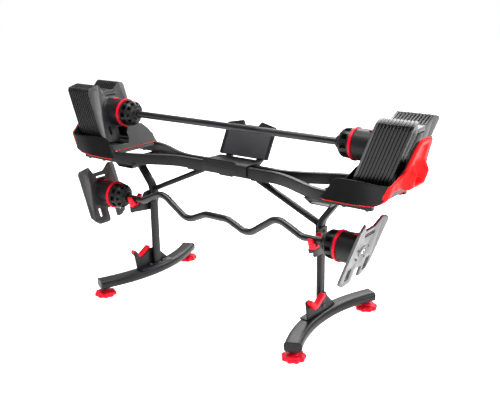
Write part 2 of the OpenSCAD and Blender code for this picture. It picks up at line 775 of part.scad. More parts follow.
module curl_knee(i) {
  a = seg_a(i - 1);
  t = trim_at(i);
  s = turn_at(i) > 0 ? 1 : -1;
  // centre of the bend, square to the first straight
  cx = curl_pts[i][0] - t * cos(a) - s * knee_r * sin(a);
  cz = curl_pts[i][1] - t * sin(a) + s * knee_r * cos(a);
  start = s > 0 ? a - 90 : a + 90 - abs(turn_at(i));
  translate([cx, 0, cz]) rotate([90, 0, 0]) rotate([0, 0, start])
    rotate_extrude(angle = abs(turn_at(i)), $fn = 96) translate([knee_r, 0]) circle(d = bar_d + knee_more);
}

module curl_half() {
  for (i = [0:len(curl_pts) - 2]) curl_straight(i);
  for (i = [1:len(curl_pts) - 2]) curl_knee(i);
  shaft_end();
}

module curl_shaft() color([0.08, 0.08, 0.08]) on_bar(-curl_front, curl_z) both() curl_half();
module curl_housings() color([0.06, 0.06, 0.06]) on_bar(-curl_front, curl_z) both() housing();
module curl_rings() color([0.85, 0.06, 0.15]) on_bar(-curl_front, curl_z) both() ring();
module curl_hub_bolts() color([0.8, 0.8, 0.8]) on_bar(-curl_front, curl_z) both() hub_bolt();
module curl_end_plates() color([0.22, 0.22, 0.23]) end_plates(-curl_front, curl_z);
module curl_dial_l() color([0.06, 0.06, 0.06]) on_bar(-curl_front, curl_z) mirror([1, 0, 0]) dial();
module curl_dial_r() color([0.06, 0.06, 0.06]) on_bar(-curl_front, curl_z) dial();
module curl_selector_l() color([0.5, 0.5, 0.5]) on_bar(-curl_front, curl_z) mirror([1, 0, 0]) selector();
module curl_selector_r() color([0.5, 0.5, 0.5]) on_bar(-curl_front, curl_z) selector();
module curl_button_l() color([0.85, 0.06, 0.15]) on_bar(-curl_front, curl_z) mirror([1, 0, 0]) button_shape();
module curl_button_r() color([0.85, 0.06, 0.15]) on_bar(-curl_front, curl_z) button_shape();

// ---------- drawn nodes ----------

base_tubes();
tube_caps();
foot_bushes();
left_upright();
right_upright();
braces();
cross_plates();
base_brackets();
lower_hooks();
cradle_brackets();
cradle_hooks();
front_beam();
rear_beam();
saddles();
centre_cover();
media_panel();
media_frame();
frame_bolts();
left_tray();
right_tray();
left_tray_base();
right_tray_base();
foot_stud_lf();
foot_stud_lb();
foot_stud_rf();
foot_stud_rb();
foot_wheel_lf();
foot_wheel_lb();
foot_wheel_rf();
foot_wheel_rb();
left_plates_a();
left_plates_b();
left_plates_c();
right_plates_a();
right_plates_b();
right_plates_c();
barbell_shaft();
barbell_housings();
barbell_rings();
barbell_hub_bolts();
barbell_end_plates();
curl_shaft();
curl_housings();
curl_rings();
curl_hub_bolts();
curl_end_plates();
barbell_dial_l();
barbell_dial_r();
curl_dial_l();
curl_dial_r();
barbell_selector_l();
barbell_selector_r();
curl_selector_l();
curl_selector_r();
barbell_button_l();
barbell_button_r();
curl_button_l();
curl_button_r();
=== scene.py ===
# %% [markdown]
# # A barbell, a curl bar and the rack that holds them
#
# The object is a home gym set: a long bar whose ends pick up leaning weight
# plates from two trays, a bent curl bar with the same ends, and a two-legged
# rack. The joints and fits come from the engineering frame, which this script
# loads first. Everything here is about looks: each visible piece is remade with
# rounded edges, real wall thickness and its own finish, and then told which
# moving body it rides on.

import math
import bmesh
import bpy
from mathutils import Matrix, Vector


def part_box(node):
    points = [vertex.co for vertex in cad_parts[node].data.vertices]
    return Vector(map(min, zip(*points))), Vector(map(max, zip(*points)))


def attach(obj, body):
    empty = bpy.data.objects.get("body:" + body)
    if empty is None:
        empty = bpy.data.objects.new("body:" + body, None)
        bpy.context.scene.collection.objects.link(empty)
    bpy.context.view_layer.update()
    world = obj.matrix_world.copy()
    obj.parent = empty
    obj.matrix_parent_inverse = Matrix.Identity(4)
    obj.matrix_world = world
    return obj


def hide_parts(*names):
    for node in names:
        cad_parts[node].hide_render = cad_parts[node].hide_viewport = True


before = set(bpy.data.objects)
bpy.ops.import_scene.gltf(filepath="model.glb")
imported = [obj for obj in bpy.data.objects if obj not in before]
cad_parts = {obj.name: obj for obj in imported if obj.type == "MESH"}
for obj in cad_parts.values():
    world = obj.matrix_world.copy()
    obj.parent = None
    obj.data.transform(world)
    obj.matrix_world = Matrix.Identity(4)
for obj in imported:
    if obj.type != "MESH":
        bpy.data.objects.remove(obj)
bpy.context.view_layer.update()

# %% [markdown]
# ## Camera and light
#
# The camera stands in front of the rack and to its right, a little above it,
# and looks slightly down. A white room lights the set from all round, and three
# large soft lamps give the long soft streaks that show where edges are rounded.

# %% Camera
CAMERA_AT = Vector((1.68634, -2.08652, 1.19726))
AZIMUTH = math.radians(37.42)
ELEVATION = math.radians(16.577)
ROLL = math.radians(-0.772)

back = Vector((math.sin(AZIMUTH) * math.cos(ELEVATION),
               -math.cos(AZIMUTH) * math.cos(ELEVATION), math.sin(ELEVATION)))
right = (-back).cross(Vector((0, 0, 1))).normalized()
up = right.cross(-back)
right, up = (right * math.cos(ROLL) + up * math.sin(ROLL),
             -right * math.sin(ROLL) + up * math.cos(ROLL))
lens = bpy.data.cameras.new("camera")
lens.lens = 55.28
lens.sensor_width = 36.0
camera = bpy.data.objects.new("camera", lens)
camera.matrix_world = Matrix((
    (right.x, up.x, back.x, CAMERA_AT.x),
    (right.y, up.y, back.y, CAMERA_AT.y),
    (right.z, up.z, back.z, CAMERA_AT.z),
    (0, 0, 0, 1)))
bpy.context.scene.collection.objects.link(camera)
bpy.context.scene.camera = camera
print("camera at", [round(v, 3) for v in camera.location])


# %% Soft lamps and a white room
def soft_lamp(name, place, aim, size, power):
    data = bpy.data.lights.new(name, "AREA")
    data.shape = "RECTANGLE"
    data.size, data.size_y = size
    data.energy = power
    lamp = bpy.data.objects.new(name, data)
    lamp.location = place
    lamp.rotation_euler = (Vector(aim) - Vector(place)).to_track_quat("-Z", "Y").to_euler()
    bpy.context.scene.collection.objects.link(lamp)
    return lamp


soft_lamp("overhead", (0.0, -0.35, 3.4), (0, 0, 0.5), (2.4, 1.1), 150)
soft_lamp("right_side", (3.6, 0.9, 2.1), (0, 0, 0.6), (1.3, 1.8), 80)
soft_lamp("behind", (-0.6, 3.6, 3.1), (0, 0, 0.6), (4.2, 1.5), 230)
soft_lamp("front_strip", (2.7, -3.1, 1.9), (0, 0, 0.6), (0.16, 1.3), 40)


# %% A room that is white to look at and darker in front
def studio_room(floor_light=1.0, ambient=0.17, back_wall=0.80):
    room = bpy.data.worlds.new("white_room")
    room.use_nodes = True
    nodes, links = room.node_tree.nodes, room.node_tree.links
    seen = nodes["Background"]
    seen.inputs["Color"].default_value = (1, 1, 1, 1)
    seen.inputs["Strength"].default_value = floor_light
    light = nodes.new("ShaderNodeBackground")
    where = nodes.new("ShaderNodeTexCoord")
    parts = nodes.new("ShaderNodeSeparateXYZ")
    links.new(where.outputs["Generated"], parts.inputs[0])
    fade = nodes.new("ShaderNodeMapRange")
    fade.interpolation_type = "SMOOTHSTEP"
    for index, value in ((1, -0.2), (2, 0.75), (3, ambient), (4, back_wall)):
        fade.inputs[index].default_value = value
    links.new(parts.outputs["Y"], fade.inputs[0])
    links.new(fade.outputs[0], light.inputs["Strength"])
    path = nodes.new("ShaderNodeLightPath")
    mix = nodes.new("ShaderNodeMixShader")
    links.new(path.outputs["Is Camera Ray"], mix.inputs[0])
    links.new(light.outputs[0], mix.inputs[1])
    links.new(seen.outputs[0], mix.inputs[2])
    links.new(mix.outputs[0], nodes["World Output"].inputs["Surface"])
    return room


bpy.context.scene.world = studio_room()
bpy.context.scene.view_settings.view_transform = "Standard"

# %% [markdown]
# ## Writing shaders as sums
#
# A finish is easier to read as arithmetic than as a web of boxes. The class
# below holds one socket of a material's node tree. Adding or multiplying two of
# them adds the Math node that does it, so `0.4 + 0.1 * grain` is a small chain
# of nodes. Any node that isn't arithmetic comes from the one method `node`.

# %% A socket that can be added and multiplied
class Sock:
    def __init__(self, tree, socket):
        self.tree = tree
        self.socket = socket

    def node(self, kind, settings=None, out=0, **inputs):
        made = self.tree.nodes.new(kind)
        for key, value in (settings or {}).items():
            if key == "ramp":
                while len(made.color_ramp.elements) < len(value):
                    made.color_ramp.elements.new(0.5)
                for stop, (place, tone) in zip(made.color_ramp.elements, value):
                    stop.position = place
                    stop.color = (tone, tone, tone, 1) if isinstance(tone, float) else (*tone, 1)
            else:
                setattr(made, key, value)
        for key, value in inputs.items():
            name = key.replace("_", " ")
            target = made.inputs[int(name[1:])] if name[0] == "i" and name[1:].isdigit() else made.inputs[name]
            if isinstance(value, Sock):
                self.tree.links.new(value.socket, target)
            else:
                target.default_value = value
        return Sock(self.tree, made.outputs[out])

    def maths(self, operation, a, b=0.0):
        return self.node("ShaderNodeMath", {"operation": operation}, i0=a, i1=b)

    def __add__(self, other):
        return self.maths("ADD", self, other)

    def __radd__(self, other):
        return self.maths("ADD", other, self)

    def __sub__(self, other):
        return self.maths("SUBTRACT", self, other)

    def __rsub__(self, other):
        return self.maths("SUBTRACT", other, self)

    def __mul__(self, other):
        return self.maths("MULTIPLY", self, other)

    def __rmul__(self, other):
        return self.maths("MULTIPLY", other, self)

    def __truediv__(self, other):
        return self.maths("DIVIDE", self, other)

    def __pow__(self, other):
        return self.maths("POWER", self, other)

    def blend(self, first, second):
        """This value as a mask between two colours."""
        return self.node("ShaderNodeMix", {"data_type": "RGBA"}, out=2,
                         i0=self, i6=first, i7=second)


# %% Start a finish
def new_finish(name):
    """A material with one surface shader, its object coordinates and that shader."""
    finish = bpy.data.materials.new(name)
    finish.use_nodes = True
    tree = finish.node_tree
    surface = tree.nodes["Principled BSDF"]
    start = Sock(tree, None)
    place = start.node("ShaderNodeTexCoord", out=3)
    return finish, tree, surface, place


def feed(tree, surface, socket, value):
    if isinstance(value, Sock):
        tree.links.new(value.socket, surface.inputs[socket])
    else:
        surface.inputs[socket].default_value = value


def grain(place, scale, detail=3.0, rough=0.55):
    """A fine even noise, about 0.3 to 0.7. The scale is in cells per metre."""
    return place.node("ShaderNodeTexNoise", Vector=place, Scale=scale, Detail=detail,
                      Roughness=rough)


def worn(place, spread):
    """Nought on flat faces, rising to one in broken patches along outer edges."""
    edge = place.node("ShaderNodeNewGeometry", out=7)
    patch = grain(place, 160.0, 4.0, 0.6)
    return place.node("ShaderNodeMapRange", {"clamp": True}, i0=edge + (patch - 0.5) * 0.10, i1=0.545,
                      i2=0.545 + spread, i3=0.0, i4=1.0)


def bump(place, height, strength, depth):
    return place.node("ShaderNodeBump", Height=height, Strength=strength, Distance=depth)


# %% [markdown]
# ## Finishes
#
# The rack is steel under a black powder coat: very slightly pebbled, with a
# satin shine that is a touch duller in the hollows. Covers, dials and trays are
# moulded black plastic with a tighter grain. The plates have a thicker grey
# hammered coat, made as two copies: a lighter, glossier one on the end plates,
# which is painted light, and a near-black one on the loose plates, which is
# painted shade. The red pieces are smooth coloured plastic. All of them take
# their pattern from object coordinates, so it stays put as pieces move.

# %% Powder coat and moulded plastic
def pebbled(name, dark, light, shine, spread, cell, depth, metal=0.0, coat=0.0, gloss=0.22):
    """A coat with a fine pebble: dark and light are its two close colours."""
    finish, tree, surface, place = new_finish(name)
    fine = grain(place, cell, 2.0)
    broad = grain(place, 9.0, 4.0, 0.6)
    tone = fine * 0.45 + broad * 0.55
    coated = ((tone - 0.38) * 4.0).blend((*dark, 1), (*light, 1))
    rubbed = worn(place, 0.10)
    feed(tree, surface, "Base Color", (rubbed * 0.7).blend(coated, tuple(min(1.0, 1.6 * t + 0.006) for t in light) + (1,)))
    feed(tree, surface, "Roughness", shine + spread * (broad - 0.5) + spread * 0.6 * (fine - 0.5) - 0.08 * rubbed)
    feed(tree, surface, "Normal", bump(place, fine, 0.35, depth))
    surface.inputs["Metallic"].default_value = metal
    surface.inputs["Coat Weight"].default_value = coat
    surface.inputs["Coat Roughness"].default_value = 0.25
    surface.inputs["Specular IOR Level"].default_value = gloss
    return finish


POWDER = pebbled("black_powder_coat", (0.005, 0.005, 0.006), (0.011, 0.011, 0.012), 0.38, 0.20, 900, 0.0003, gloss=0.2)
MOULDED = pebbled("moulded_black", (0.006, 0.006, 0.0065), (0.013, 0.013, 0.014), 0.44, 0.16, 1500, 0.00025)
TRAY_BLACK = pebbled("tray_black", (0.004, 0.004, 0.0045), (0.008, 0.008, 0.0085), 0.38, 0.14, 1300, 0.0002, gloss=0.2)
DIAL_BLACK = pebbled("dial_black", (0.005, 0.005, 0.0055), (0.012, 0.012, 0.013), 0.38, 0.14, 1700, 0.0002)
BAR_BLACK = pebbled("bar_black_oxide", (0.007, 0.007, 0.008), (0.015, 0.015, 0.017), 0.32, 0.18, 700, 0.0002, coat=0.2)
PANEL_GREY = pebbled("panel_grey", (0.030, 0.030, 0.032), (0.046, 0.046, 0.049), 0.58, 0.12, 1200, 0.0003)
RED = pebbled("moulded_red", (0.66, 0.002, 0.016), (0.76, 0.004, 0.023), 0.40, 0.12, 1400, 0.0002, gloss=0.14)
SHELL_RED = pebbled("shell_red", (0.74, 0.006, 0.007), (0.84, 0.010, 0.011), 0.42, 0.12, 1400, 0.0002, gloss=0.12)
print("coats ready")


# %% Hammered plate coat, steel and white plastic
def hammered(name, dark, light, shine, gloss):
    """The thick coat on the plates: soft dimples and a few pale flecks."""
    finish, tree, surface, place = new_finish(name)
    dimple = place.node("ShaderNodeTexVoronoi", {"feature": "SMOOTH_F1"}, Vector=place, Scale=420.0,
                        Smoothness=0.6)
    fleck = grain(place, 2600.0, 2.0)
    cloud = grain(place, 12.0, 4.0)
    tone = dimple * 0.5 + cloud * 0.6
    base = ((tone - 0.30) * 2.2).blend((*dark, 1), (*light, 1))
    spark = place.node("ShaderNodeMath", {"operation": "GREATER_THAN"}, i0=fleck, i1=0.66)
    flecked = (spark * 0.5).blend(base, tuple(2.5 * t for t in light) + (1,))
    rubbed = worn(place, 0.08)
    feed(tree, surface, "Base Color", (rubbed * 0.8).blend(flecked, tuple(2.2 * t + 0.01 for t in light) + (1,)))
    feed(tree, surface, "Roughness", shine + 0.18 * (cloud - 0.5) + 0.10 * dimple - 0.05 * rubbed)
    feed(tree, surface, "Normal", bump(place, dimple, 0.22, 0.0005))
    surface.inputs["Specular IOR Level"].default_value = gloss
    surface.inputs["Coat Weight"].default_value = 0.0
    return finish


def turned_steel(name, tone, shine):
    """Small machined parts: faint rings from the lathe across a metal surface."""
    finish, tree, surface, place = new_finish(name)
    rings = place.node("ShaderNodeTexNoise", Vector=place, Scale=2200.0, Detail=1.0)
    cloud = grain(place, 60.0)
    feed(tree, surface, "Base Color", ((cloud - 0.35) * 3.0).blend(
        tuple(0.8 * t for t in tone) + (1,), tuple(tone) + (1,)))
    feed(tree, surface, "Roughness", shine + 0.2 * (rings - 0.5))
    feed(tree, surface, "Normal", bump(place, rings, 0.2, 0.0002))
    surface.inputs["Metallic"].default_value = 0.9
    return finish


# Painted light: the end plates and hubs take a lighter, glossier copy of the one real plate coat, so they look lit.
LIT_PLATE_COAT = hammered("hammered_grey", (0.012, 0.012, 0.013), (0.024, 0.024, 0.026), 0.28, 0.72)
# Painted shade: the loose plates take a near-black, less glossy copy of the same plate coat, so they look shaded.
SHADED_PLATE_COAT = hammered("hammered_black", (0.003, 0.003, 0.0035), (0.007, 0.007, 0.008), 0.24, 0.36)
DARK_STEEL = turned_steel("black_zinc", (0.10, 0.10, 0.105), 0.38)
SILVER_STEEL = turned_steel("bright_steel", (0.72, 0.72, 0.72), 0.28)
HUB_WHITE = pebbled("hub_white", (0.62, 0.62, 0.61), (0.78, 0.78, 0.77), 0.35, 0.1, 900, 0.0002)
SELECTOR = turned_steel("selector_steel", (0.45, 0.45, 0.46), 0.35)
print("metals ready")

# %% [markdown]
# ## Shape helpers
#
# Most of the rack is one of three kinds of shape: a section carried along a
# path (tubes, bars, beams), a flat outline given thickness (brackets, hooks,
# plates), or a profile turned round an axis (dials, rings, studs). Each has one
# helper. `finish_piece` then rounds the edges, smooths what should look smooth,
# and hands the piece to the body it moves with.


# %% Turn points and faces into a finished piece
def mesh_from(name, points, faces):
    mesh = bpy.data.meshes.new(name)
    mesh.from_pydata([tuple(p) for p in points], [], faces)
    mesh.validate()
    return mesh


def tidy_mesh(mesh, merge=0.00001):
    work = bmesh.new()
    work.from_mesh(mesh)
    bmesh.ops.remove_doubles(work, verts=work.verts, dist=merge)
    bmesh.ops.recalc_face_normals(work, faces=work.faces)
    work.to_mesh(mesh)
    work.free()


def smooth_below(mesh, degrees):
    """Faces look smooth across edges flatter than this, and crisp across the rest."""
    work = bmesh.new()
    work.from_mesh(mesh)
    limit = math.radians(degrees)
    for face in work.faces:
        face.smooth = True
    for edge in work.edges:
        edge.smooth = len(edge.link_faces) == 2 and edge.calc_face_angle(0.0) < limit
    work.to_mesh(mesh)
    work.free()


def finish_piece(name, mesh, coat, body, nodes=(), slot=None, round_to=0.0, steps=2, smooth=35,
                 angle=32, tidy=True):
    """Rounds and smooths a mesh, gives it its coat, and hangs it on its body."""
    if tidy:
        tidy_mesh(mesh)
    piece = bpy.data.objects.new(name, mesh)
    bpy.context.scene.collection.objects.link(piece)
    if round_to:
        soften = piece.modifiers.new("soften", "BEVEL")
        soften.width = round_to
        soften.segments = steps
        soften.limit_method = "ANGLE"
        soften.angle_limit = math.radians(angle)
        soften.harden_normals = False
        shaped = bpy.data.meshes.new_from_object(
            piece.evaluated_get(bpy.context.evaluated_depsgraph_get()))
        piece.modifiers.clear()
        piece.data = shaped
    smooth_below(piece.data, smooth)
    piece.data.materials.clear()
    piece.data.materials.append(coat)
    if nodes:
        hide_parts(*nodes)
    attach(piece, body)
    return piece


def joined(parts):
    """Several (points, faces) lists as one."""
    points, faces = [], []
    for some_points, some_faces in parts:
        base = len(points)
        points += [Vector(p) for p in some_points]
        faces += [[base + i for i in f] for f in some_faces]
    return points, faces


def mirrored(part):
    """The same part at the other end of the rack, turned so its faces still look out."""
    points, faces = part
    return [Vector((-p.x, p.y, p.z)) for p in points], [list(reversed(f)) for f in faces]


# %% Sections, outlines and turned profiles
def rounded_corners(corners, radii, steps=5):
    """A flat outline with each corner replaced by an arc."""
    out = []
    count = len(corners)
    if not hasattr(radii, "__len__"):
        radii = [radii] * count
    for i in range(count):
        here = Vector(corners[i])
        before = Vector(corners[i - 1]) - here
        after = Vector(corners[(i + 1) % count]) - here
        half = before.angle(after) / 2
        if radii[i] <= 0 or half > math.radians(88):
            out.append(tuple(here))
            continue
        reach = min(radii[i] / math.tan(half), before.length * 0.48, after.length * 0.48)
        radius = reach * math.tan(half)
        middle = here + (before.normalized() + after.normalized()).normalized() * (radius / math.sin(half))
        first = here + before.normalized() * reach - middle
        last = here + after.normalized() * reach - middle
        turn = first.angle_signed(last)
        for k in range(steps + 1):
            out.append(tuple(middle + Matrix.Rotation(-turn * k / steps, 2) @ first))
    return out


def box_section(wide, high, radius, steps=4):
    w, h = wide / 2, high / 2
    return rounded_corners([(-w, -h), (w, -h), (w, h), (-w, h)], radius, steps)


def ring_section(across, tall, count=24):
    """An oval with flat sides: across is its thin way."""
    r = across / 2
    flat = (tall - across) / 2
    out = []
    for k in range(count):
        a = 2 * math.pi * k / count
        out.append((r * math.cos(a), r * math.sin(a) + (flat if math.sin(a) >= 0 else -flat)))
    return out


def swept(path, section, across=Vector((0, 0, 1)), capped=True):
    """Carries a section along a path. The section's second axis stays near across."""
    path = [Vector(p) for p in path]
    points, faces = [], []
    n = len(section)
    for i, p in enumerate(path):
        ahead = path[min(i + 1, len(path) - 1)] - p
        behind = p - path[max(i - 1, 0)]
        along = (ahead.normalized() + behind.normalized()).normalized()
        side = along.cross(across).normalized()
        rise = side.cross(along)
        # the section is stretched a little at a bend so the wall keeps its width
        bend = 1.0
        if 0 < i < len(path) - 1:
            bend = 1 / max(0.5, math.cos(ahead.angle(behind) / 2))
        for a, b in section:
            points.append(p + side * a * bend + rise * b)
    for i in range(len(path) - 1):
        for k in range(n):
            faces.append([i * n + k, i * n + (k + 1) % n, (i + 1) * n + (k + 1) % n, (i + 1) * n + k])
    if capped:
        faces.append(list(reversed(range(n))))
        faces.append([(len(path) - 1) * n + k for k in range(n)])
    return points, faces


def slab(outline, low, high, place):
    """A flat outline given thickness from low to high; place turns (u, v, w) into a point."""
    n = len(outline)
    points = [place(u, v, low) for u, v in outline] + [place(u, v, high) for u, v in outline]
    faces = [list(reversed(range(n))), [n + k for k in range(n)]]
    faces += [[k, (k + 1) % n, n + (k + 1) % n, n + k] for k in range(n)]
    return points, faces


def turned(profile, place, count=96, closed=False):
    """A profile of (along, radius) turned round an axis; place maps (along, y, z)."""
    points, faces = [], []
    rows = len(profile)
    for along, radius in profile:
        for k in range(count):
            a = 2 * math.pi * k / count
            points.append(place(along, radius * math.cos(a), radius * math.sin(a)))
    last = rows if closed else rows - 1
    for r in range(last):
        s = (r + 1) % rows
        for k in range(count):
            m = (k + 1) % count
            faces.append([r * count + k, r * count + m, s * count + m, s * count + k])
    if not closed:
        faces.append(list(range(count)))
        faces.append([(rows - 1) * count + k for k in reversed(range(count))])
    return points, faces


def in_yz(x_of):
    """place for an outline drawn as (y, z) and thickened along X."""
    return lambda u, v, w: Vector((x_of(w) if callable(x_of) else x_of + w, u, v))


def in_xz(u, v, w):
    return Vector((u, w, v))


MM = 0.001
print("helpers ready")

# %% [markdown]
# ## Growing repeats with Geometry Nodes
#
# Bolts, dial ribs and whole stacks of plates are one shape repeated by a rule,
# so a node tree makes them. `new_tree` opens a tree with named inputs,
# `close_tree` ends it in Realize Instances and Set Material, and `grown` runs it
# once on a starting mesh and keeps the plain result.


# %% Open, close and run a node tree
def new_tree(name, **inputs):
    tree = bpy.data.node_groups.new(name, "GeometryNodeTree")
    tree.interface.new_socket("Geometry", in_out="INPUT", socket_type="NodeSocketGeometry")
    for label, default in inputs.items():
        kind = {int: "Int", float: "Float", tuple: "Vector"}[type(default)]
        socket = tree.interface.new_socket(label, in_out="INPUT", socket_type="NodeSocket" + kind)
        socket.default_value = default
    tree.interface.new_socket("Geometry", in_out="OUTPUT", socket_type="NodeSocketGeometry")
    entry = tree.nodes.new("NodeGroupInput")
    return tree, {s.name: Sock(tree, s) for s in entry.outputs if s.name}


def close_tree(tree, result, coat):
    real = result.node("GeometryNodeRealizeInstances", Geometry=result)
    coated = real.node("GeometryNodeSetMaterial", Geometry=real, Material=coat)
    end = tree.nodes.new("NodeGroupOutput")
    tree.links.new(coated.socket, end.inputs[0])
    return tree


def applied(piece):
    """The mesh a piece's modifiers make, with the piece itself taken away."""
    made = bpy.data.meshes.new_from_object(piece.evaluated_get(bpy.context.evaluated_depsgraph_get()))
    bpy.data.objects.remove(piece)
    return made


def grown(mesh, tree, **values):
    seed = bpy.data.objects.new("seed", mesh)
    bpy.context.scene.collection.objects.link(seed)
    grow = seed.modifiers.new("grow", "NODES")
    grow.node_group = tree
    for item in tree.interface.items_tree:
        if item.in_out == "INPUT" and item.name in values:
            grow[item.identifier] = values[item.name]
    return applied(seed)


# %% A row of copies, and copies round an axis
def row_tree(coat):
    """Count copies of the starting mesh, each one Step further on."""
    tree, put = new_tree("row_of_" + coat.name, Count=2, Step=(0.01, 0.0, 0.0))
    line = put["Count"].node("GeometryNodeMeshLine", {"mode": "OFFSET"}, Count=put["Count"],
                             Offset=put["Step"])
    return close_tree(tree, line.node("GeometryNodeInstanceOnPoints", Points=line,
                                      Instance=put["Geometry"]), coat)


def wheel_tree(coat):
    """Count copies of the starting mesh, turned evenly round the X axis."""
    tree, put = new_tree("round_of_" + coat.name, Count=10)
    line = put["Count"].node("GeometryNodeMeshLine", {"mode": "OFFSET"}, Count=put["Count"],
                             Offset=(0.0, 0.0, 0.0))
    turn = line.node("GeometryNodeInputIndex") * (2 * math.pi) / put["Count"]
    spin = turn.node("ShaderNodeCombineXYZ", X=turn)
    return close_tree(tree, line.node("GeometryNodeInstanceOnPoints", Points=line,
                                      Instance=put["Geometry"], Rotation=spin), coat)


def piece_of(name, part, coat, body, nodes=(), slot=None, both=False, **how):
    if both:
        part = joined([part, mirrored(part)])
    return finish_piece(name, mesh_from(name, *part), coat, body, nodes, slot, **how)


def softened(node, coat, body, slot, width=0.0012, steps=2):
    """A flat-sided part of the frame with its edges rounded over."""
    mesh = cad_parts[node].data.copy()
    work = bmesh.new()
    work.from_mesh(mesh)
    bmesh.ops.remove_doubles(work, verts=work.verts, dist=0.00002)
    bmesh.ops.dissolve_limit(work, angle_limit=math.radians(1.0), verts=work.verts, edges=work.edges)
    work.to_mesh(mesh)
    work.free()
    return finish_piece(node + "_finished", mesh, coat, body, (node,), slot, round_to=width,
                        steps=steps, tidy=False)


print("trees ready")

# %% [markdown]
# ## Floor tubes and uprights
#
# The two floor tubes are one flattened tube rolled to a long arc, so a rounded
# rectangle is carried along that arc. Each upright is a flat-oval tube that
# stands straight, then is bent outwards to meet the saddle under the rails. A
# tube bender keeps the radius of the bend constant, and `bent` does the same.


# %% Where things are, read from the frame
ring_low, ring_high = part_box("barbell_rings")
curl_low, curl_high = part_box("curl_rings")
tube_low, tube_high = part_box("base_tubes")
rail_low, rail_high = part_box("rear_beam")
BAR_Z = (ring_low.z + ring_high.z) / 2
CURL_Y = (curl_low.y + curl_high.y) / 2
CURL_Z = (curl_low.z + curl_high.z) / 2
HEAD_X = ring_high.x + 0.064
LEAN = math.radians(18.8)
SLOPE = math.tan(LEAN)
PITCH = 0.0115
BAR_R = 0.0127
UPRIGHT_X = 0.390
RAIL_LOW, RAIL_TOP = rail_low.z, rail_high.z
print("bar height", round(BAR_Z, 4), "head at", round(HEAD_X, 4), "rails", round(RAIL_LOW, 3), round(RAIL_TOP, 3))


def shifted(part, move):
    return [Vector(p) + Vector(move) for p in part[0]], part[1]


def bent(corners, radii, steps=10):
    """A path through corners with an arc at each inner one."""
    corners = [Vector(c) for c in corners]
    out = [corners[0]]
    for i in range(1, len(corners) - 1):
        here = corners[i]
        before, after = (corners[i - 1] - here).normalized(), (corners[i + 1] - here).normalized()
        half = before.angle(after) / 2
        reach = radii[i - 1] / math.tan(half)
        middle = here + (before + after).normalized() * (radii[i - 1] / math.sin(half))
        start, end = here + before * reach - middle, here + after * reach - middle
        sweep = start.angle(end)
        for k in range(steps + 1):
            t = k / steps
            out.append(middle + (start * math.sin((1 - t) * sweep) + end * math.sin(t * sweep)) / math.sin(sweep))
    out.append(corners[-1])
    return out


# %% Floor tubes and their end caps
ARC_R, ARC_X, ARC_TURN, TUBE_Z = 0.58517, 0.97517, math.radians(25.73), (tube_low.z + tube_high.z) / 2


def arc_point(turn, z=TUBE_Z):
    return Vector((ARC_X - ARC_R * math.cos(turn), ARC_R * math.sin(turn), z))


tube_path = [arc_point(-ARC_TURN + 2 * ARC_TURN * k / 60) for k in range(61)]
floor_tube = swept(tube_path, box_section(0.060, 0.035, 0.015, 6))
piece_of("floor_tubes", floor_tube, POWDER, "stand", ("base_tubes",), "frame_steel", both=True)


def end_cap(sign):
    """A moulded plug: a lip the size of the tube with a shallow domed face."""
    rows = []
    for out, inset in ((-0.0002, 0.0), (0.0026, 0.0), (0.0036, 0.0012), (0.0040, 0.0045)):
        turn = sign * (ARC_TURN + out / ARC_R)
        middle = arc_point(turn)
        side = Vector((math.cos(turn), -math.sin(turn), 0))
        rows.append([middle + side * a + Vector((0, 0, b)) for a, b in
                     box_section(0.0602 - 2 * inset, 0.0352 - 2 * inset, 0.012 - inset, 6)])
    n = len(rows[0])
    points = [p for row in rows for p in row]
    faces = [[r * n + k, r * n + (k + 1) % n, (r + 1) * n + (k + 1) % n, (r + 1) * n + k]
             for r in range(len(rows) - 1) for k in range(n)]
    faces += [list(range(n)), [(len(rows) - 1) * n + k for k in range(n)]]
    return points, faces


piece_of("tube_end_caps", joined([end_cap(-1), end_cap(1)]), MOULDED, "stand", ("tube_caps",),
         "black_plastic", both=True)

# %% Uprights
BEND_R, BEND_TURN, BEND_Z = 0.060, math.radians(38), 0.372
SADDLE_Z = RAIL_LOW - 0.022
corner_z = BEND_Z + BEND_R * math.tan(BEND_TURN / 2)
upright_top = UPRIGHT_X + (SADDLE_Z + 0.002 - corner_z) * math.tan(BEND_TURN)
upright_path = bent([(UPRIGHT_X, 0, tube_high.z - 0.001), (UPRIGHT_X, 0, corner_z),
                     (upright_top, 0, SADDLE_Z + 0.002)], [BEND_R], 16)
upright = swept(upright_path, ring_section(0.020, 0.038, 36), across=Vector((0, 1, 0)))
piece_of("bent_uprights", upright, POWDER, "stand", ("left_upright", "right_upright"), "frame_steel",
         both=True, round_to=0.0006)
weld = turned([(-0.0002, 0.0), (0.0, 0.0145), (0.0015, 0.0135), (0.0035, 0.0105), (0.0042, 0.0)],
              lambda a, y, z: Vector((UPRIGHT_X + y * 0.95, z * 1.62, tube_high.z + 0.0035 + a)), 40)
piece_of("weld_beads", weld, POWDER, "stand", slot="frame_steel", both=True)
print("uprights bend out", round(upright_top - UPRIGHT_X, 4), "m")

# %% [markdown]
# ## Braces
#
# From each upright a thin flat-oval brace climbs to the middle of the rails.
# Its foot is a flat tab bolted to the upright.

# %% Braces
brace_start = Vector((UPRIGHT_X - 0.016, 0, 0.386))
brace_end = Vector((0.129, 0, RAIL_LOW - 0.0042))
brace = swept([brace_start, brace_start.lerp(brace_end, 0.5), brace_end], ring_section(0.020, 0.028, 28),
              across=Vector((0, 1, 0)))
tab = slab(rounded_corners([(-0.013, 0.328), (0.013, 0.328), (0.013, 0.390), (-0.013, 0.390)], 0.010, 5),
           UPRIGHT_X - 0.016, UPRIGHT_X - 0.010, lambda u, v, w: Vector((w, u, v)))
piece_of("brace_tubes", joined([brace, tab]), POWDER, "stand", ("braces",), "frame_steel", both=True,
         round_to=0.0008)

# %% [markdown]
# ## Rails
#
# Front and rear rails are one rule: they run close together past the middle
# and swing apart in a smooth S towards the trays. The tree lays out a line of
# points, moves each sideways by a smooth step of its distance from the middle,
# and carries a rounded rectangle along the result.


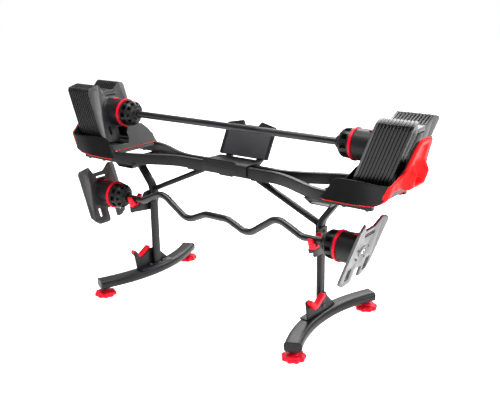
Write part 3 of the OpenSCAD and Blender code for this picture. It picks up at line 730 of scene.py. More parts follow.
# %% Rails by rule
def rail_tree(coat):
    tree, put = new_tree("rail", Points=121, Half_length=0.64, Inner=0.018, Outer=0.110, Start=0.20,
                         End=0.48, Width=0.020, Height=0.040, Corner=0.0035, Level=0.52)
    half = put["Half_length"]
    line = half.node("GeometryNodeMeshLine", {"mode": "END_POINTS"}, Count=put["Points"],
                     i2=half.node("ShaderNodeCombineXYZ", X=half * -1.0),
                     i3=half.node("ShaderNodeCombineXYZ", X=half))
    where = line.node("GeometryNodeInputPosition")
    x = where.node("ShaderNodeSeparateXYZ", Vector=where)
    swing = x.node("ShaderNodeMapRange", {"interpolation_type": "SMOOTHSTEP"}, i0=x.maths("ABSOLUTE", x),
                   i1=put["Start"], i2=put["End"], i3=put["Inner"], i4=put["Outer"])
    moved = line.node("GeometryNodeSetPosition", Geometry=line,
                      Position=x.node("ShaderNodeCombineXYZ", X=x, Y=swing, Z=put["Level"]))
    path = moved.node("GeometryNodeMeshToCurve", Mesh=moved)
    level = path.node("GeometryNodeSetCurveNormal", {"mode": "Z_UP"}, Curve=path)
    box = put["Width"].node("GeometryNodeCurvePrimitiveQuadrilateral", {"mode": "RECTANGLE"},
                            Width=put["Width"], Height=put["Height"])
    soft = box.node("GeometryNodeFilletCurve", {"mode": "POLY"}, Curve=box, Radius=put["Corner"], Count=4)
    tube = soft.node("GeometryNodeCurveToMesh", Curve=level, Profile_Curve=soft, Fill_Caps=True)
    return close_tree(tree, tube, coat)


def rail(name, node, turn_round):
    mesh = grown(mesh_from("start", [(0, 0, 0)], []), rail_tree(POWDER), Level=(RAIL_LOW + RAIL_TOP) / 2,
                 Half_length=rail_high.x - 0.001)
    if turn_round:
        mesh.transform(Matrix.Rotation(math.pi, 4, "Z"))
    made = finish_piece(name, mesh, POWDER, "stand", (node,), "frame_steel", round_to=0.001, angle=60)
    low, high = Vector(made.bound_box[0]), Vector(made.bound_box[6])
    print(name, [round(v, 3) for v in low], [round(v, 3) for v in high])


rail("rear_rail", "rear_beam", False)
rail("front_rail", "front_beam", True)

# %% [markdown]
# ## Brackets, saddles and hooks
#
# These are folded or laser-cut sheet steel with red moulded hooks bolted on, so
# their outlines in the frame are already right. Each keeps its outline and gets
# its edges rounded over, which is what catches the light on the real ones.

# %% Sheet parts and hooks
for part_name, width in (("cross_plates", 0.0012), ("base_brackets", 0.0012), ("cradle_brackets", 0.0012),
                         ("saddles", 0.0025), ("media_frame", 0.002)):
    softened(part_name, POWDER if part_name != "media_frame" else MOULDED, "stand",
             "frame_steel" if part_name != "media_frame" else "black_plastic", width)
for part_name in ("lower_hooks", "cradle_hooks"):
    softened(part_name, RED, "stand", "red_plastic", 0.0028, 3)
print("brackets ready")


# %% [markdown]
# ## Bolts
#
# Button-head bolts with a hex socket hold the rack together. One bolt is turned
# from a profile, and the tree places a copy at each bolt point with its axis
# along that point's normal.

# %% One bolt head
def bolt_head(radius=0.007, height=0.005):
    profile = [(0.0, 0.0), (0.0, radius), (height * 0.35, radius * 0.985), (height * 0.75, radius * 0.84),
               (height * 0.97, radius * 0.62), (height, radius * 0.5), (height * 0.98, radius * 0.46)]
    points, faces = turned(profile, lambda a, y, z: Vector((y, z, a)), 24)
    faces.pop()
    base = len(points)
    hexagon = [Vector((radius * 0.42 * math.cos(k * math.pi / 3), radius * 0.42 * math.sin(k * math.pi / 3), z))
               for z in (height * 0.98, height * 0.35) for k in range(6)]
    points += hexagon
    rim = (len(profile) - 1) * 24
    for k in range(24):
        faces.append([rim + (k + 1) % 24, rim + k, base + (k // 4) % 6])
        if k % 4 == 3:
            faces.append([rim + (k + 1) % 24, base + (k // 4) % 6, base + (k // 4 + 1) % 6])
    for k in range(6):
        faces.append([base + (k + 1) % 6, base + k, base + 6 + k, base + 6 + (k + 1) % 6])
    faces.append([base + 6 + k for k in range(6)])
    return points, faces


def bolts_tree(coat, head):
    """A copy of the head at every point, turned to look along the point's facing."""
    tree, put = new_tree("bolts_" + coat.name, Size=1.0)
    start = put["Geometry"]
    info = start.node("GeometryNodeObjectInfo", Object=head, out=4)
    facing = start.node("GeometryNodeInputNamedAttribute", {"data_type": "FLOAT_VECTOR"}, Name="facing")
    aim = facing.node("FunctionNodeAlignRotationToVector", {"axis": "Z"}, Vector=facing)
    placed = start.node("GeometryNodeInstanceOnPoints", Points=start, Instance=info, Rotation=aim, Scale=put["Size"])
    return close_tree(tree, placed, coat)


def bolt_row(name, spots, coat, body, nodes=(), radius=0.007, height=0.005):
    """spots is a list of (place, direction): the tree grows a bolt at each."""
    head = bpy.data.objects.new("head", mesh_from("head", *bolt_head(radius, height)))
    bpy.context.scene.collection.objects.link(head)
    seats = mesh_from("seats", [place for place, facing in spots], [])
    facings = seats.attributes.new("facing", "FLOAT_VECTOR", "POINT")
    for item, (place, facing) in zip(facings.data, spots):
        item.vector = facing
    mesh = grown(seats, bolts_tree(coat, head), Size=1.0)
    bpy.data.objects.remove(head)
    return finish_piece(name, mesh, coat, body, nodes, "dark_steel", smooth=40)


side_z = [tube_high.z + 0.020, tube_high.z + 0.040, CURL_Z - 0.040, CURL_Z + 0.005]
spots = []
for s in (-1, 1):
    spots += [((s * 0.404, 0, z), (s, 0, 0)) for z in side_z]
    spots += [((s * UPRIGHT_X, t * 0.034, tube_high.z + 0.004), (0, 0, 1)) for t in (-1, 1)]
    spots += [((s * x, t * 0.110, RAIL_LOW), (0, 0, -1)) for t in (-1, 1) for x in (0.540, 0.620)]
    spots += [((s * (UPRIGHT_X - 0.016), 0, z), (-s, 0, 0)) for z in (0.342, 0.372)]
bolt_row("rack_bolts", spots, DARK_STEEL, "stand", ("frame_bolts",))
print(len(spots), "bolts")

# %% [markdown]
# ## Middle cover and the rest for a phone or tablet
#
# A moulded cover clips over the two rails where they nearly meet. Its front
# carries a blank raised plaque, and a lip stops a tablet sliding off. Behind
# it a leaning panel with a raised dark rim and two upright ears holds the
# tablet. Outlines with holes are filled flat and then given thickness.


# %% An outline with holes, given thickness
def pierced(outline, holes, low, high, place, cuts=()):
    work = bmesh.new()
    for loop in [outline] + list(holes):
        corners = [work.verts.new((u, v, 0)) for u, v in loop]
        for k in range(len(corners)):
            work.edges.new((corners[k - 1], corners[k]))
    bmesh.ops.triangle_fill(work, use_beauty=True, use_dissolve=False, edges=work.edges)
    for spot, facing in cuts:
        bmesh.ops.bisect_plane(work, geom=work.verts[:] + work.edges[:] + work.faces[:], dist=1e-6,
                               plane_co=(*spot, 0), plane_no=(*facing, 0))
    work.verts.index_update()
    flat = [(p.co.x, p.co.y) for p in work.verts]
    faces = [[p.index for p in f.verts] for f in work.faces]
    rim = [(e.verts[0].index, e.verts[1].index) for e in work.edges if len(e.link_faces) == 1]
    work.free()
    n = len(flat)
    points = [place(u, v, low) for u, v in flat] + [place(u, v, high) for u, v in flat]
    sides = [[a, b, b + n, a + n] for a, b in rim]
    return points, faces + [[i + n for i in reversed(f)] for f in faces] + sides


def box_outline(u0, u1, v0, v1, radius, steps=5):
    return rounded_corners([(u0, v0), (u1, v0), (u1, v1), (u0, v1)], radius, steps)


# %% Middle cover
cover_low, cover_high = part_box("centre_cover")
half_cover = 0.100
side_y = 0.034
profile = rounded_corners([(-side_y, RAIL_LOW + 0.004), (-side_y, RAIL_TOP + 0.007), (side_y, RAIL_TOP + 0.007),
                           (side_y, RAIL_LOW + 0.004), (side_y - 0.0035, RAIL_LOW + 0.004),
                           (side_y - 0.0035, RAIL_TOP + 0.001), (-side_y + 0.0035, RAIL_TOP + 0.001),
                           (-side_y + 0.0035, RAIL_LOW + 0.004)], [0, 0.009, 0.009, 0, 0, 0, 0, 0], 5)
shell = slab(profile, -half_cover, half_cover, lambda u, v, w: Vector((w, u, v)))
plaque = slab(box_outline(-0.093, 0.060, RAIL_LOW + 0.010, RAIL_TOP - 0.008, 0.007), 0.0, 0.0016,
              lambda u, v, w: Vector((u, -side_y - w + 0.0002, v)))
lip_shape = rounded_corners([(-0.096, 0.0), (0.054, 0.0), (0.046, 0.012), (-0.090, 0.012)], 0.004, 4)
lip_turn = math.radians(12)
lip = slab(lip_shape, 0.0, 0.005, lambda u, v, w: Vector((
    u, -side_y + w * math.cos(lip_turn) + v * math.sin(lip_turn),
    RAIL_TOP + 0.0025 + v * math.cos(lip_turn) - w * math.sin(lip_turn))))
shelf = slab(box_outline(-0.096, 0.096, 0.028, 0.0645, 0.005), RAIL_TOP + 0.001, RAIL_TOP + 0.007,
             lambda u, v, w: Vector((u, v, w)))
ridges = joined([slab(box_outline(-0.088, 0.088, 0.036 + 0.007 * k, 0.039 + 0.007 * k, 0.001, 2),
                      RAIL_TOP + 0.0065, RAIL_TOP + 0.0080, lambda u, v, w: Vector((u, v, w)))
                 for k in range(4)])
piece_of("middle_cover", joined([shell, plaque, lip, shelf]), MOULDED, "stand", ("centre_cover",),
         "black_plastic", round_to=0.0014, steps=3)
piece_of("shelf_ridges", ridges, MOULDED, "stand", slot="black_plastic", round_to=0.0005)

# %% Leaning panel with rim and ears
PANEL_LEAN = math.radians(28.3)


def on_panel(u, v, w):
    """u across, v up the panel, w out of its face."""
    return Vector((u, 0.066 + v * math.sin(PANEL_LEAN) - w * math.cos(PANEL_LEAN),
                   RAIL_TOP - 0.009 + v * math.cos(PANEL_LEAN) + w * math.sin(PANEL_LEAN)))


panel_shape = rounded_corners([(-0.110, 0.020), (0.110, 0.020), (0.111, 0.143), (0.041, 0.158), (0.032, 0.141),
                               (-0.032, 0.141), (-0.041, 0.158), (-0.111, 0.143)],
                              [0.006, 0.006, 0.006, 0.004, 0.004, 0.004, 0.004, 0.006], 4)
face_shape = box_outline(-0.099, 0.099, 0.023, 0.133, 0.004)
rim_part = pierced(panel_shape, [face_shape], -0.008, 0.0, on_panel)
face_part = slab(box_outline(-0.0992, 0.0992, 0.0228, 0.1332, 0.004), -0.0075, -0.0022, on_panel)
piece_of("rest_rim", rim_part, MOULDED, "stand", ("media_panel",), "black_plastic", round_to=0.0012)
piece_of("rest_face", face_part, PANEL_GREY, "stand", slot="panel_grey", round_to=0.0004)
clips = joined([slab(box_outline(s * 0.076 - 0.030, s * 0.076 + 0.030, 0.1335, 0.1400, 0.002), -0.001, 0.0012,
                     on_panel) for s in (-1, 1)])
piece_of("rest_clips", clips, MOULDED, "stand", slot="black_plastic", round_to=0.0005)
print("cover and rest ready")

# %% [markdown]
# ## Bars
#
# The straight bar is a plain steel bar with a black oxide coat and two bands
# of fine knurling where hands go. The curl bar is the same bar bent in a zigzag
# in one plane, so it is the same section carried along a path with arcs.


# %% Bar finish with knurled bands
def knurled_bar(name, bands):
    finish, tree, surface, place = new_finish(name)
    where = place.node("ShaderNodeSeparateXYZ", Vector=place)
    x = Sock(tree, where.socket.node.outputs["X"])
    y = Sock(tree, where.socket.node.outputs["Y"])
    z = Sock(tree, where.socket.node.outputs["Z"])
    broad = grain(place, 14.0, 4.0)
    fine = grain(place, 1400.0, 2.0)
    tone = broad * 0.6 + fine * 0.4
    away = x.maths("ABSOLUTE", x)
    mask = away.node("ShaderNodeMapRange", i0=away, i1=bands[0], i2=bands[0] + 0.002, i3=0.0, i4=1.0)
    stop = away.node("ShaderNodeMapRange", i0=away, i1=bands[1], i2=bands[1] + 0.002, i3=1.0, i4=0.0)
    band = mask * stop
    turn = y.maths("ARCTAN2", y - bands[2], z - bands[3]) * BAR_R
    cross = ((x + turn) * 3600.0).maths("SINE", (x + turn) * 3600.0) * ((x - turn) * 3600.0).maths(
        "SINE", (x - turn) * 3600.0)
    height = fine * 0.4 + band * cross * 0.7
    feed(tree, surface, "Base Color", ((tone - 0.38) * 4.0).blend((0.006, 0.006, 0.007, 1), (0.015, 0.015, 0.017, 1)))
    feed(tree, surface, "Roughness", 0.33 + 0.18 * (broad - 0.5) + 0.10 * band)
    feed(tree, surface, "Normal", bump(place, height, 0.25, 0.0003))
    surface.inputs["Coat Weight"].default_value = 0.2
    surface.inputs["Coat Roughness"].default_value = 0.25
    surface.inputs["Metallic"].default_value = 0.3
    return finish


STRAIGHT_FINISH = knurled_bar("straight_bar_oxide", (0.12, 0.36, 0.0, BAR_Z))
CURL_FINISH = knurled_bar("curl_bar_oxide", (0.06, 0.30, CURL_Y, CURL_Z))

# %% Bars as carried sections
circle = [(BAR_R * math.cos(2 * math.pi * k / 48), BAR_R * math.sin(2 * math.pi * k / 48)) for k in range(48)]
straight_bar = swept([(-HEAD_X, 0, 0), (0, 0, 0), (HEAD_X, 0, 0)], circle)
piece_of("straight_bar", shifted(straight_bar, (0, 0, BAR_Z)), STRAIGHT_FINISH, "barbell", ("barbell_shaft",),
         "bar_black")
half_path = [(0.052, 0, 0.002), (0.140, 0, -0.036), (0.265, 0, 0.048), (0.365, 0, 0.0)]
whole = [(-x, 0, z) for x, y, z in reversed(half_path)] + half_path
curl_path = bent([(-HEAD_X, 0, 0)] + whole + [(HEAD_X, 0, 0)], [0.060] * len(whole), 10)
piece_of("bent_bar", shifted(swept(curl_path, circle, across=Vector((0, 1, 0))), (0, CURL_Y, CURL_Z)),
         CURL_FINISH, "curl_bar", ("curl_shaft",), "bar_black")
print("curl bar path points", len(curl_path))

# %% [markdown]
# ## Heads: dial, red ring and housing
#
# Each end has a dial that turns to choose how many plates to take. Its face is
# a cone with ten deep windows between ribs, so a base is turned and one rib is
# repeated round the axis. The housing is a tube sliced off at the plates' lean,
# with a thin lip against the end plate and an oval release button on top.


# %% Parts of one head, drawn about the bar's axis
def part_from(mesh):
    return [v.co.copy() for v in mesh.vertices], [list(p.vertices) for p in mesh.polygons]


def on_x(a, y, z):
    return Vector((a, y, z))


def dial_part():
    base = turned([(0.4482, 0.0129), (0.4482, 0.0200), (0.4492, 0.0214), (0.4590, 0.0218), (0.4604, 0.0240),
                   (0.4610, 0.0320), (0.4630, 0.0345), (0.4660, 0.0350), (0.4662, 0.0315), (0.5020, 0.0325),
                   (0.5022, 0.0480), (0.5035, 0.0494), (0.5095, 0.0494), (0.5105, 0.0484), (0.5105, 0.0129)],
                  on_x, 96, closed=True)
    hoop = turned([(0.4740, 0.0420), (0.4728, 0.0436), (0.4750, 0.0462), (0.4800, 0.0480), (0.4812, 0.0472),
                   (0.4812, 0.0430), (0.4800, 0.0420)], on_x, 96, closed=True)
    rib_shape = rounded_corners([(0.4625, 0.0290), (0.4625, 0.0340), (0.4680, 0.0412), (0.4780, 0.0474),
                                 (0.4920, 0.0493), (0.5045, 0.0495), (0.5045, 0.0290)],
                                [0, 0.002, 0.004, 0.006, 0.004, 0, 0], 3)
    rib = mesh_from("rib", *slab(rib_shape, -0.0058, 0.0058, lambda u, v, w: Vector((u, w, v))))
    tidy_mesh(rib)
    ribs = part_from(grown(rib, wheel_tree(DIAL_BLACK), Count=10))
    return joined([base, hoop, ribs])


def leaning_row(offset, radius, count=96):
    return [Vector((HEAD_X + SLOPE * radius * math.sin(2 * math.pi * k / count) + offset,
                    radius * math.cos(2 * math.pi * k / count), radius * math.sin(2 * math.pi * k / count)))
            for k in range(count)]


def housing_part():
    count = 96
    rows = [[Vector((x, r * math.cos(2 * math.pi * k / count), r * math.sin(2 * math.pi * k / count)))
             for k in range(count)] for x, r in ((0.5212, 0.026), (0.5212, 0.0488), (0.5216, 0.0500),
                                                 (0.5232, 0.0508), (0.5250, 0.0510))]
    rows += [leaning_row(o, r) for o, r in ((-0.0075, 0.0510), (-0.0062, 0.0512), (-0.0050, 0.0530),
                                            (-0.0035, 0.0538), (-0.0010, 0.0538), (-0.0002, 0.0530),
                                            (-0.0002, 0.0200))]
    points = [p for row in rows for p in row]
    faces = [[r * count + k, r * count + (k + 1) % count, (r + 1) * count + (k + 1) % count, (r + 1) * count + k]
             for r in range(len(rows) - 1) for k in range(count)]
    faces += [list(range(count)), [(len(rows) - 1) * count + k for k in range(count)]]
    return points, faces


def cut_with(part, cutter):
    """One closed part with another taken out of it."""
    objects = []
    for label, some in (("body", part), ("cutter", cutter)):
        mesh = mesh_from(label, *some)
        tidy_mesh(mesh)
        made = bpy.data.objects.new(label, mesh)
        bpy.context.scene.collection.objects.link(made)
        objects.append(made)
    cut = objects[0].modifiers.new("cut", "BOOLEAN")
    cut.operation = "DIFFERENCE"
    cut.solver = "EXACT"
    cut.object = objects[1]
    mesh = applied(objects[0])
    bpy.data.objects.remove(objects[1])
    return part_from(mesh)


def oval_outline(length, width, x, grow=0.0):
    r = width / 2 + grow
    flat = (length - width) / 2
    out = []
    for k in range(32):
        a = 2 * math.pi * k / 32
        out.append((x + r * math.cos(a), r * math.sin(a) + (flat if math.sin(a) >= 0 else -flat)))
    return out


BUTTON_X = HEAD_X - 0.013
button_hole = slab(oval_outline(0.026, 0.013, BUTTON_X, 0.0003), 0.0355, 0.0600, lambda u, v, w: Vector((u, v, w)))
surround = pierced(oval_outline(0.026, 0.013, BUTTON_X, 0.0024),
                   [oval_outline(0.026, 0.013, BUTTON_X, 0.0003)], 0.0480, 0.0517, lambda u, v, w: Vector((u, v, w)))
button = slab(oval_outline(0.026, 0.013, BUTTON_X), 0.0412, 0.0525, lambda u, v, w: Vector((u, v, w)))
ring = turned([(0.5112, 0.0300), (0.5112, 0.0528), (0.5122, 0.0539), (0.5198, 0.0539), (0.5208, 0.0528),
               (0.5208, 0.0300)], on_x, 128, closed=True)
housing = cut_with(housing_part(), button_hole)
print("housing faces", len(housing[1]))

# %% Both bars get their heads
one_dial = dial_part()
for label, body, y, z in (("barbell", "barbell", 0.0, BAR_Z), ("curl", "curl_bar", CURL_Y, CURL_Z)):
    move = (0, y, z)
    piece_of(label + "_head_shells", shifted(housing, move), MOULDED, body, (label + "_housings",), "black_plastic",
             both=True, smooth=30)
    piece_of(label + "_button_rims", shifted(surround, move), MOULDED, body, slot="black_plastic", both=True,
             round_to=0.0005)
    piece_of(label + "_red_rings", shifted(ring, move), RED, body, (label + "_rings",), "red_plastic", both=True,
             round_to=0.0006)
    for side, s in (("left", -1), ("right", 1)):
        pick = mirrored if s < 0 else (lambda part: part)
        piece_of(label + "_" + side + "_ribbed_dial", pick(shifted(one_dial, move)), DIAL_BLACK,
                 label + "_" + side + "_dial", (label + "_dial_" + side[0],), "black_plastic", round_to=0.0006,
                 angle=50, smooth=38)
        piece_of(label + "_" + side + "_oval_button", pick(shifted(button, move)), RED,
                 label + "_" + side + "_button", (label + "_button_" + side[0],), "red_plastic", round_to=0.0018,
                 steps=4, angle=60)
for name in ("barbell_selector_l", "barbell_selector_r", "curl_selector_l", "curl_selector_r"):
    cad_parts[name].data.materials.clear()
    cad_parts[name].data.materials.append(SELECTOR)
print("heads ready")

# %% [markdown]
# ## Weight plates
#
# One plate is flat steel with a notch on top, two legs below and both side
# edges folded outwards a little. It is drawn flat, cut along lines at the folds,
# and each point is then carried round the fold. Every loose plate is the same,
# so a tree repeats it at the real pitch. The end plates, which stay on the bars,
# are drawn at the loose plates' thickness and show their recesses and the white hub.

# %% The flat outline and its folds
CL = math.cos(LEAN)
OUTER = [(-88, 98), (-45, 106), (-31, 79), (26, 81), (62, 107), (90, 103), (96, 93), (91, -62), (77, -89),
         (54, -103), (33, -104), (33, -62), (-7, -62), (-7, -112), (-62, -113), (-83, -99), (-98, -80), (-95, 86)]
SOFT = [7, 10, 6, 6, 12, 7, 6, 12, 12, 12, 6, 5, 5, 12, 14, 8, 8, 7]
plate_shape = rounded_corners([(u * MM, v * MM / CL) for u, v in OUTER], [r * MM for r in SOFT], 4)
FOLD = math.radians(15)
FOLD_LONG = 0.0036
folds = []
for a, b, sign in (((-45, 102), (-83, -99), -1), ((62, 103), (91, -103), 1)):
    top = Vector((a[0] * MM, a[1] * MM / CL))
    down = (Vector((b[0] * MM, b[1] * MM / CL)) - top).normalized()
    out = Vector((-down.y, down.x)) if (-down.y) * sign > 0 else Vector((down.y, -down.x))
    folds.append((top, out))


def folded(u, v, w):
    """Carries a flat point round whichever fold it lies beyond."""
    p = Vector((u, v))
    for top, out in folds:
        beyond = (p - top).dot(out)
        if beyond > 0:
            turn = FOLD * min(beyond / FOLD_LONG, 1)
            reach = FOLD_LONG / FOLD * math.sin(turn)
            rise = FOLD_LONG / FOLD * (1 - math.cos(turn))
            rest = max(0.0, beyond - FOLD_LONG)
            reach += rest * math.cos(FOLD) - w * math.sin(turn)
            rise += rest * math.sin(FOLD)
            q = p - out * beyond + out * reach
            return q.x, q.y, rise + w * math.cos(turn)
    return u, v, w


def leaning_at(x):
    """place for a plate whose inboard face meets the bar's axis at x."""
    def place(u, v, w):
        u, v, w = folded(u, v, w)
        return Vector((x + v * math.sin(LEAN) + w * math.cos(LEAN), u, v * math.cos(LEAN) - w * math.sin(LEAN)))
    return place


fold_cuts = [(tuple(top + out * (FOLD_LONG * k / 3)), tuple(out)) for top, out in folds for k in range(4)]
pockets = [(-0.026, 0.036, 0.058, 0.073), (-0.060, -0.036, -0.096, -0.052), (0.046, 0.071, -0.088, -0.038)]
slots = [box_outline(a + 0.006, b - 0.006, c + 0.005, d - 0.005, 0.004, 4) for a, b, c, d in pockets]
recesses = [box_outline(a, b, c, d, 0.0055, 4) for a, b, c, d in pockets]
loose_plate = pierced(plate_shape, slots, 0.0, 0.0080, leaning_at(HEAD_X), fold_cuts)
print("plate outline points", len(plate_shape), "faces", len(loose_plate[1]))


# %% Stacks of loose plates
def plate_stack(side, letter, first, count):
    part = shifted(loose_plate, (first * PITCH, 0, BAR_Z))
    mesh = mesh_from("plate", *part)
    tidy_mesh(mesh)
    # The loose plates take the near-black copy of the plate coat, which is painted shade.
    mesh = grown(mesh, row_tree(SHADED_PLATE_COAT), Count=count, Step=(PITCH, 0.0, 0.0))
    part = part_from(mesh)
    if side == "left":
        part = mirrored(part)
    return piece_of(side + "_stack_" + letter, part, SHADED_PLATE_COAT, side + "_set_" + letter,
                    (side + "_plates_" + letter,), "plate_grey", round_to=0.0011, steps=2, angle=40)


for side in ("left", "right"):
    for letter, first, count in (("a", 1, 2), ("b", 3, 3), ("c", 6, 5)):
        made = plate_stack(side, letter, first, count)
print("faces in the last stack", len(made.data.polygons))

# %% End plates with recesses, hub and screws
THICK = 0.0080
place = leaning_at(HEAD_X)
hub_hole = [(0.0220 * math.cos(2 * math.pi * k / 48), 0.0220 * math.sin(2 * math.pi * k / 48)) for k in range(48)]
end_plate = pierced(plate_shape, recesses + [hub_hole], 0.0, THICK, place, fold_cuts)
floors = [pierced(box_outline(a - 0.0002, b + 0.0002, c - 0.0002, d + 0.0002, 0.0055, 4), [hole], 0.0006,
                  THICK - 0.0022, place) for (a, b, c, d), hole in zip(pockets, slots)]


def on_plate(a, y, z):
    return place(y, z, a)


hub = turned([(0.0004, 0.0), (0.0004, 0.0217), (0.0084, 0.0217), (0.0091, 0.0208), (0.0091, 0.0158),
              (0.0078, 0.0146), (0.0078, 0.0088), (0.0090, 0.0078), (0.0090, 0.0)], on_plate, 64)
hub_cap = turned([(0.0060, 0.0), (0.0060, 0.0088), (0.0098, 0.0088), (0.0104, 0.0078), (0.0104, 0.0)], on_plate, 48)
for label, body, y, z in (("barbell", "barbell", 0.0, BAR_Z), ("curl", "curl_bar", CURL_Y, CURL_Z)):
    move = (0, y, z)
    # The end plates and hubs take the lighter copy of the plate coat, which is painted light.
    piece_of(label + "_end_pair", shifted(joined([end_plate] + floors), move), LIT_PLATE_COAT, body,
             (label + "_end_plates",), "plate_grey", both=True, round_to=0.0009, angle=40)
    piece_of(label + "_hubs", shifted(hub, move), LIT_PLATE_COAT, body, (label + "_hub_bolts",), "plate_grey",
             both=True, round_to=0.0003)
    piece_of(label + "_hub_caps", shifted(hub_cap, move), HUB_WHITE, body, slot="hub_white", both=True,
             round_to=0.0004)
    facing = Vector((math.cos(LEAN), 0, -math.sin(LEAN)))
    spots = []
    for s in (-1, 1):
        for u, v in ((0.0, 0.0), (-0.031, 0.010), (0.031, 0.010), (-0.024, -0.026), (0.024, -0.026)):
            spot = place(u, v, THICK + (0.0018 if u == v == 0.0 else -0.0001)) + Vector(move)
            spots.append(((s * spot.x, spot.y, spot.z), (s * facing.x, 0, facing.z)))
    bolt_row(label + "_hub_screws", spots, DARK_STEEL, body, radius=0.0042, height=0.0022)
print("end plates ready")

# %% [markdown]
# ## Trays
#
# Each tray is one moulded shell: walls of changing height and lean around a
# rounded rectangle, low in front of the bar so the head can drop in, with a
# hump behind it and a tall leaning wall behind the last plate. So the wall is
# made by rule: every point round the floor gets a lean, a lower edge and an
# upper edge, and rows of points are laid between them.

# %% Rules for the wall
FLOOR_Z = 0.548
TRAY_IN, TRAY_OUT, TRAY_HALF = 0.479, 0.690, 0.127
WALL = 0.0045


def between(value, stops):
    """Smooth steps between (place, height) stops."""
    if value <= stops[0][0]:
        return stops[0][1]
    for (a, p), (b, q) in zip(stops, stops[1:]):
        if value <= b:
            t = (value - a) / (b - a)
            return p + (q - p) * t * t * (3 - 2 * t)
    return stops[-1][1]


def straight(value, stops):
    if value <= stops[0][0]:
        return stops[0][1]
    for (a, p), (b, q) in zip(stops, stops[1:]):
        if value <= b:
            return p + (q - p) * (value - a) / (b - a)
    return stops[-1][1]


INBOARD_RIM = [(-0.122, 0.570), (-0.105, 0.566), (-0.085, 0.562), (-0.060, 0.559), (-0.030, 0.558), (-0.014, 0.572),
               (-0.004, 0.600), (0.012, 0.612), (0.035, 0.620), (0.060, 0.624), (0.090, 0.615), (0.112, 0.595),
               (0.127, 0.570)]
OUTBOARD_RIM = [(-0.124, 0.588), (-0.100, 0.604), (-0.068, 0.632), (-0.060, 0.700), (-0.048, 0.716),
                (0.048, 0.716), (0.060, 0.700), (0.068, 0.632), (0.100, 0.604), (0.124, 0.588)]
END_LEAN = [(0.560, 0.32), (0.680, -0.05)]


def tray_stations():
    """Points round the floor with their outward direction, evenly spaced."""
    dense = rounded_corners([(TRAY_IN, -TRAY_HALF), (TRAY_OUT, -TRAY_HALF), (TRAY_OUT, TRAY_HALF),
                             (TRAY_IN, TRAY_HALF)], 0.016, 8)
    loop = []
    for i in range(len(dense)):
        a, b = Vector(dense[i]), Vector(dense[(i + 1) % len(dense)])
        steps = max(1, round((b - a).length / 0.0035))
        loop += [a.lerp(b, k / steps) for k in range(steps)]
    out = []
    for i, p in enumerate(loop):
        along = (loop[(i + 1) % len(loop)] - loop[i - 1]).normalized()
        out.append((p, Vector((along.y, -along.x))))
    return out


def tray_wall(p, facing):
    """The lean, lower edge and upper edge of the wall at one point."""
    inboard, outboard, end = max(0, -facing.x) ** 2, max(0, facing.x) ** 2, facing.y ** 2
    lean = Vector((facing.x * (0.76 if facing.x < 0 else SLOPE), -facing.y * between(p.x, END_LEAN), 1))
    lean.x = abs(lean.x)
    skirt = straight(p.x, [(0.600, 0.517), (0.648, 0.519), (0.676, 0.532), (0.690, 0.546)])
    beam = 0.5185 if abs(p.y) > 0.1155 else 0.5425 if abs(p.y) > 0.0985 else 0.530
    low = skirt * end + beam * inboard + 0.546 * outboard
    if facing.y > 0:
        long_wall = straight(p.x, [(0.490, 0.572), (0.530, 0.588)])
    else:
        long_wall = 0.560 + 0.028 * math.sqrt(1 - min(1, max(0, (0.535 - p.x) / 0.050)) ** 2)
    high = long_wall * end + between(p.y, INBOARD_RIM) * inboard + between(p.y, OUTBOARD_RIM) * outboard
    return lean, low, high


stations = tray_stations()


def tray_point(p, facing, z, inset=0.0):
    lean, low, high = tray_wall(p, facing)
    q = p - facing * inset
    return Vector((q.x, q.y, FLOOR_Z)) + lean * (z - FLOOR_Z)


def tray_shell():
    rows = []
    count = 22
    def add(rule):
        rows.append([rule(p, f, *tray_wall(p, f)[1:]) for p, f in stations])
    add(lambda p, f, low, high: tray_point(p, f, min(low + 0.004, 0.5445), WALL))
    add(lambda p, f, low, high: tray_point(p, f, low, WALL * 0.8))
    add(lambda p, f, low, high: tray_point(p, f, low, 0.0008))
    for k in range(count + 1):
        add(lambda p, f, low, high, t=k / count: tray_point(p, f, low + 0.0008 + (high - low - 0.0030) * t))
    add(lambda p, f, low, high: tray_point(p, f, high - 0.0006, 0.0009))
    add(lambda p, f, low, high: tray_point(p, f, high, WALL * 0.5))
    add(lambda p, f, low, high: tray_point(p, f, high - 0.0006, WALL - 0.0009))
    for k in range(12):
        add(lambda p, f, low, high, t=k / 11: tray_point(p, f, (high - 0.0022) * (1 - t) + (FLOOR_Z + 0.001) * t, WALL))
    n = len(stations)
    points = [p for row in rows for p in row]
    faces = [[r * n + k, r * n + (k + 1) % n, (r + 1) * n + (k + 1) % n, (r + 1) * n + k]
             for r in range(len(rows) - 1) for k in range(n)]
    faces += [[(len(rows) - 1) * n + k for k in range(n)]]
    # underside: from the skirt's inner edge up to the flat sheet
    under = len(points)
    points += [tray_point(p, f, 0.5446, WALL) for p, f in stations]
    faces += [[under + k, under + (k + 1) % n, (k + 1) % n, k] for k in range(n)]
    faces += [[under + k for k in range(n)]]
    return points, faces


tray = tray_shell()
rails_in = [slab(box_outline(0.520, 0.665, s * 0.058 - 0.007, s * 0.058 + 0.007, 0.003, 3), FLOOR_Z, 0.5555,
                 lambda u, v, w: Vector((u, v, w))) for s in (-1, 1)]
piece_of("tray_shells", tray, TRAY_BLACK, "stand", ("left_tray", "right_tray"), "black_plastic", both=True,
         smooth=50)
piece_of("tray_rails", joined(rails_in), TRAY_BLACK, "stand", slot="black_plastic", both=True, round_to=0.0008)
print("wall stations", len(stations), "faces per tray", len(tray[1]))

# %% [markdown]
# ## Red shells under the trays
#
# A red shell clips under each black tray. Most of it shows only as a fine line
# along the lower edge, so a thin section is carried round that edge. Outboard
# it climbs the wall in an arch with a long hollow in the middle, and swells
# into the lobe used to lift the tray. That part is a grid whose depth is a
# sum of smooth steps.


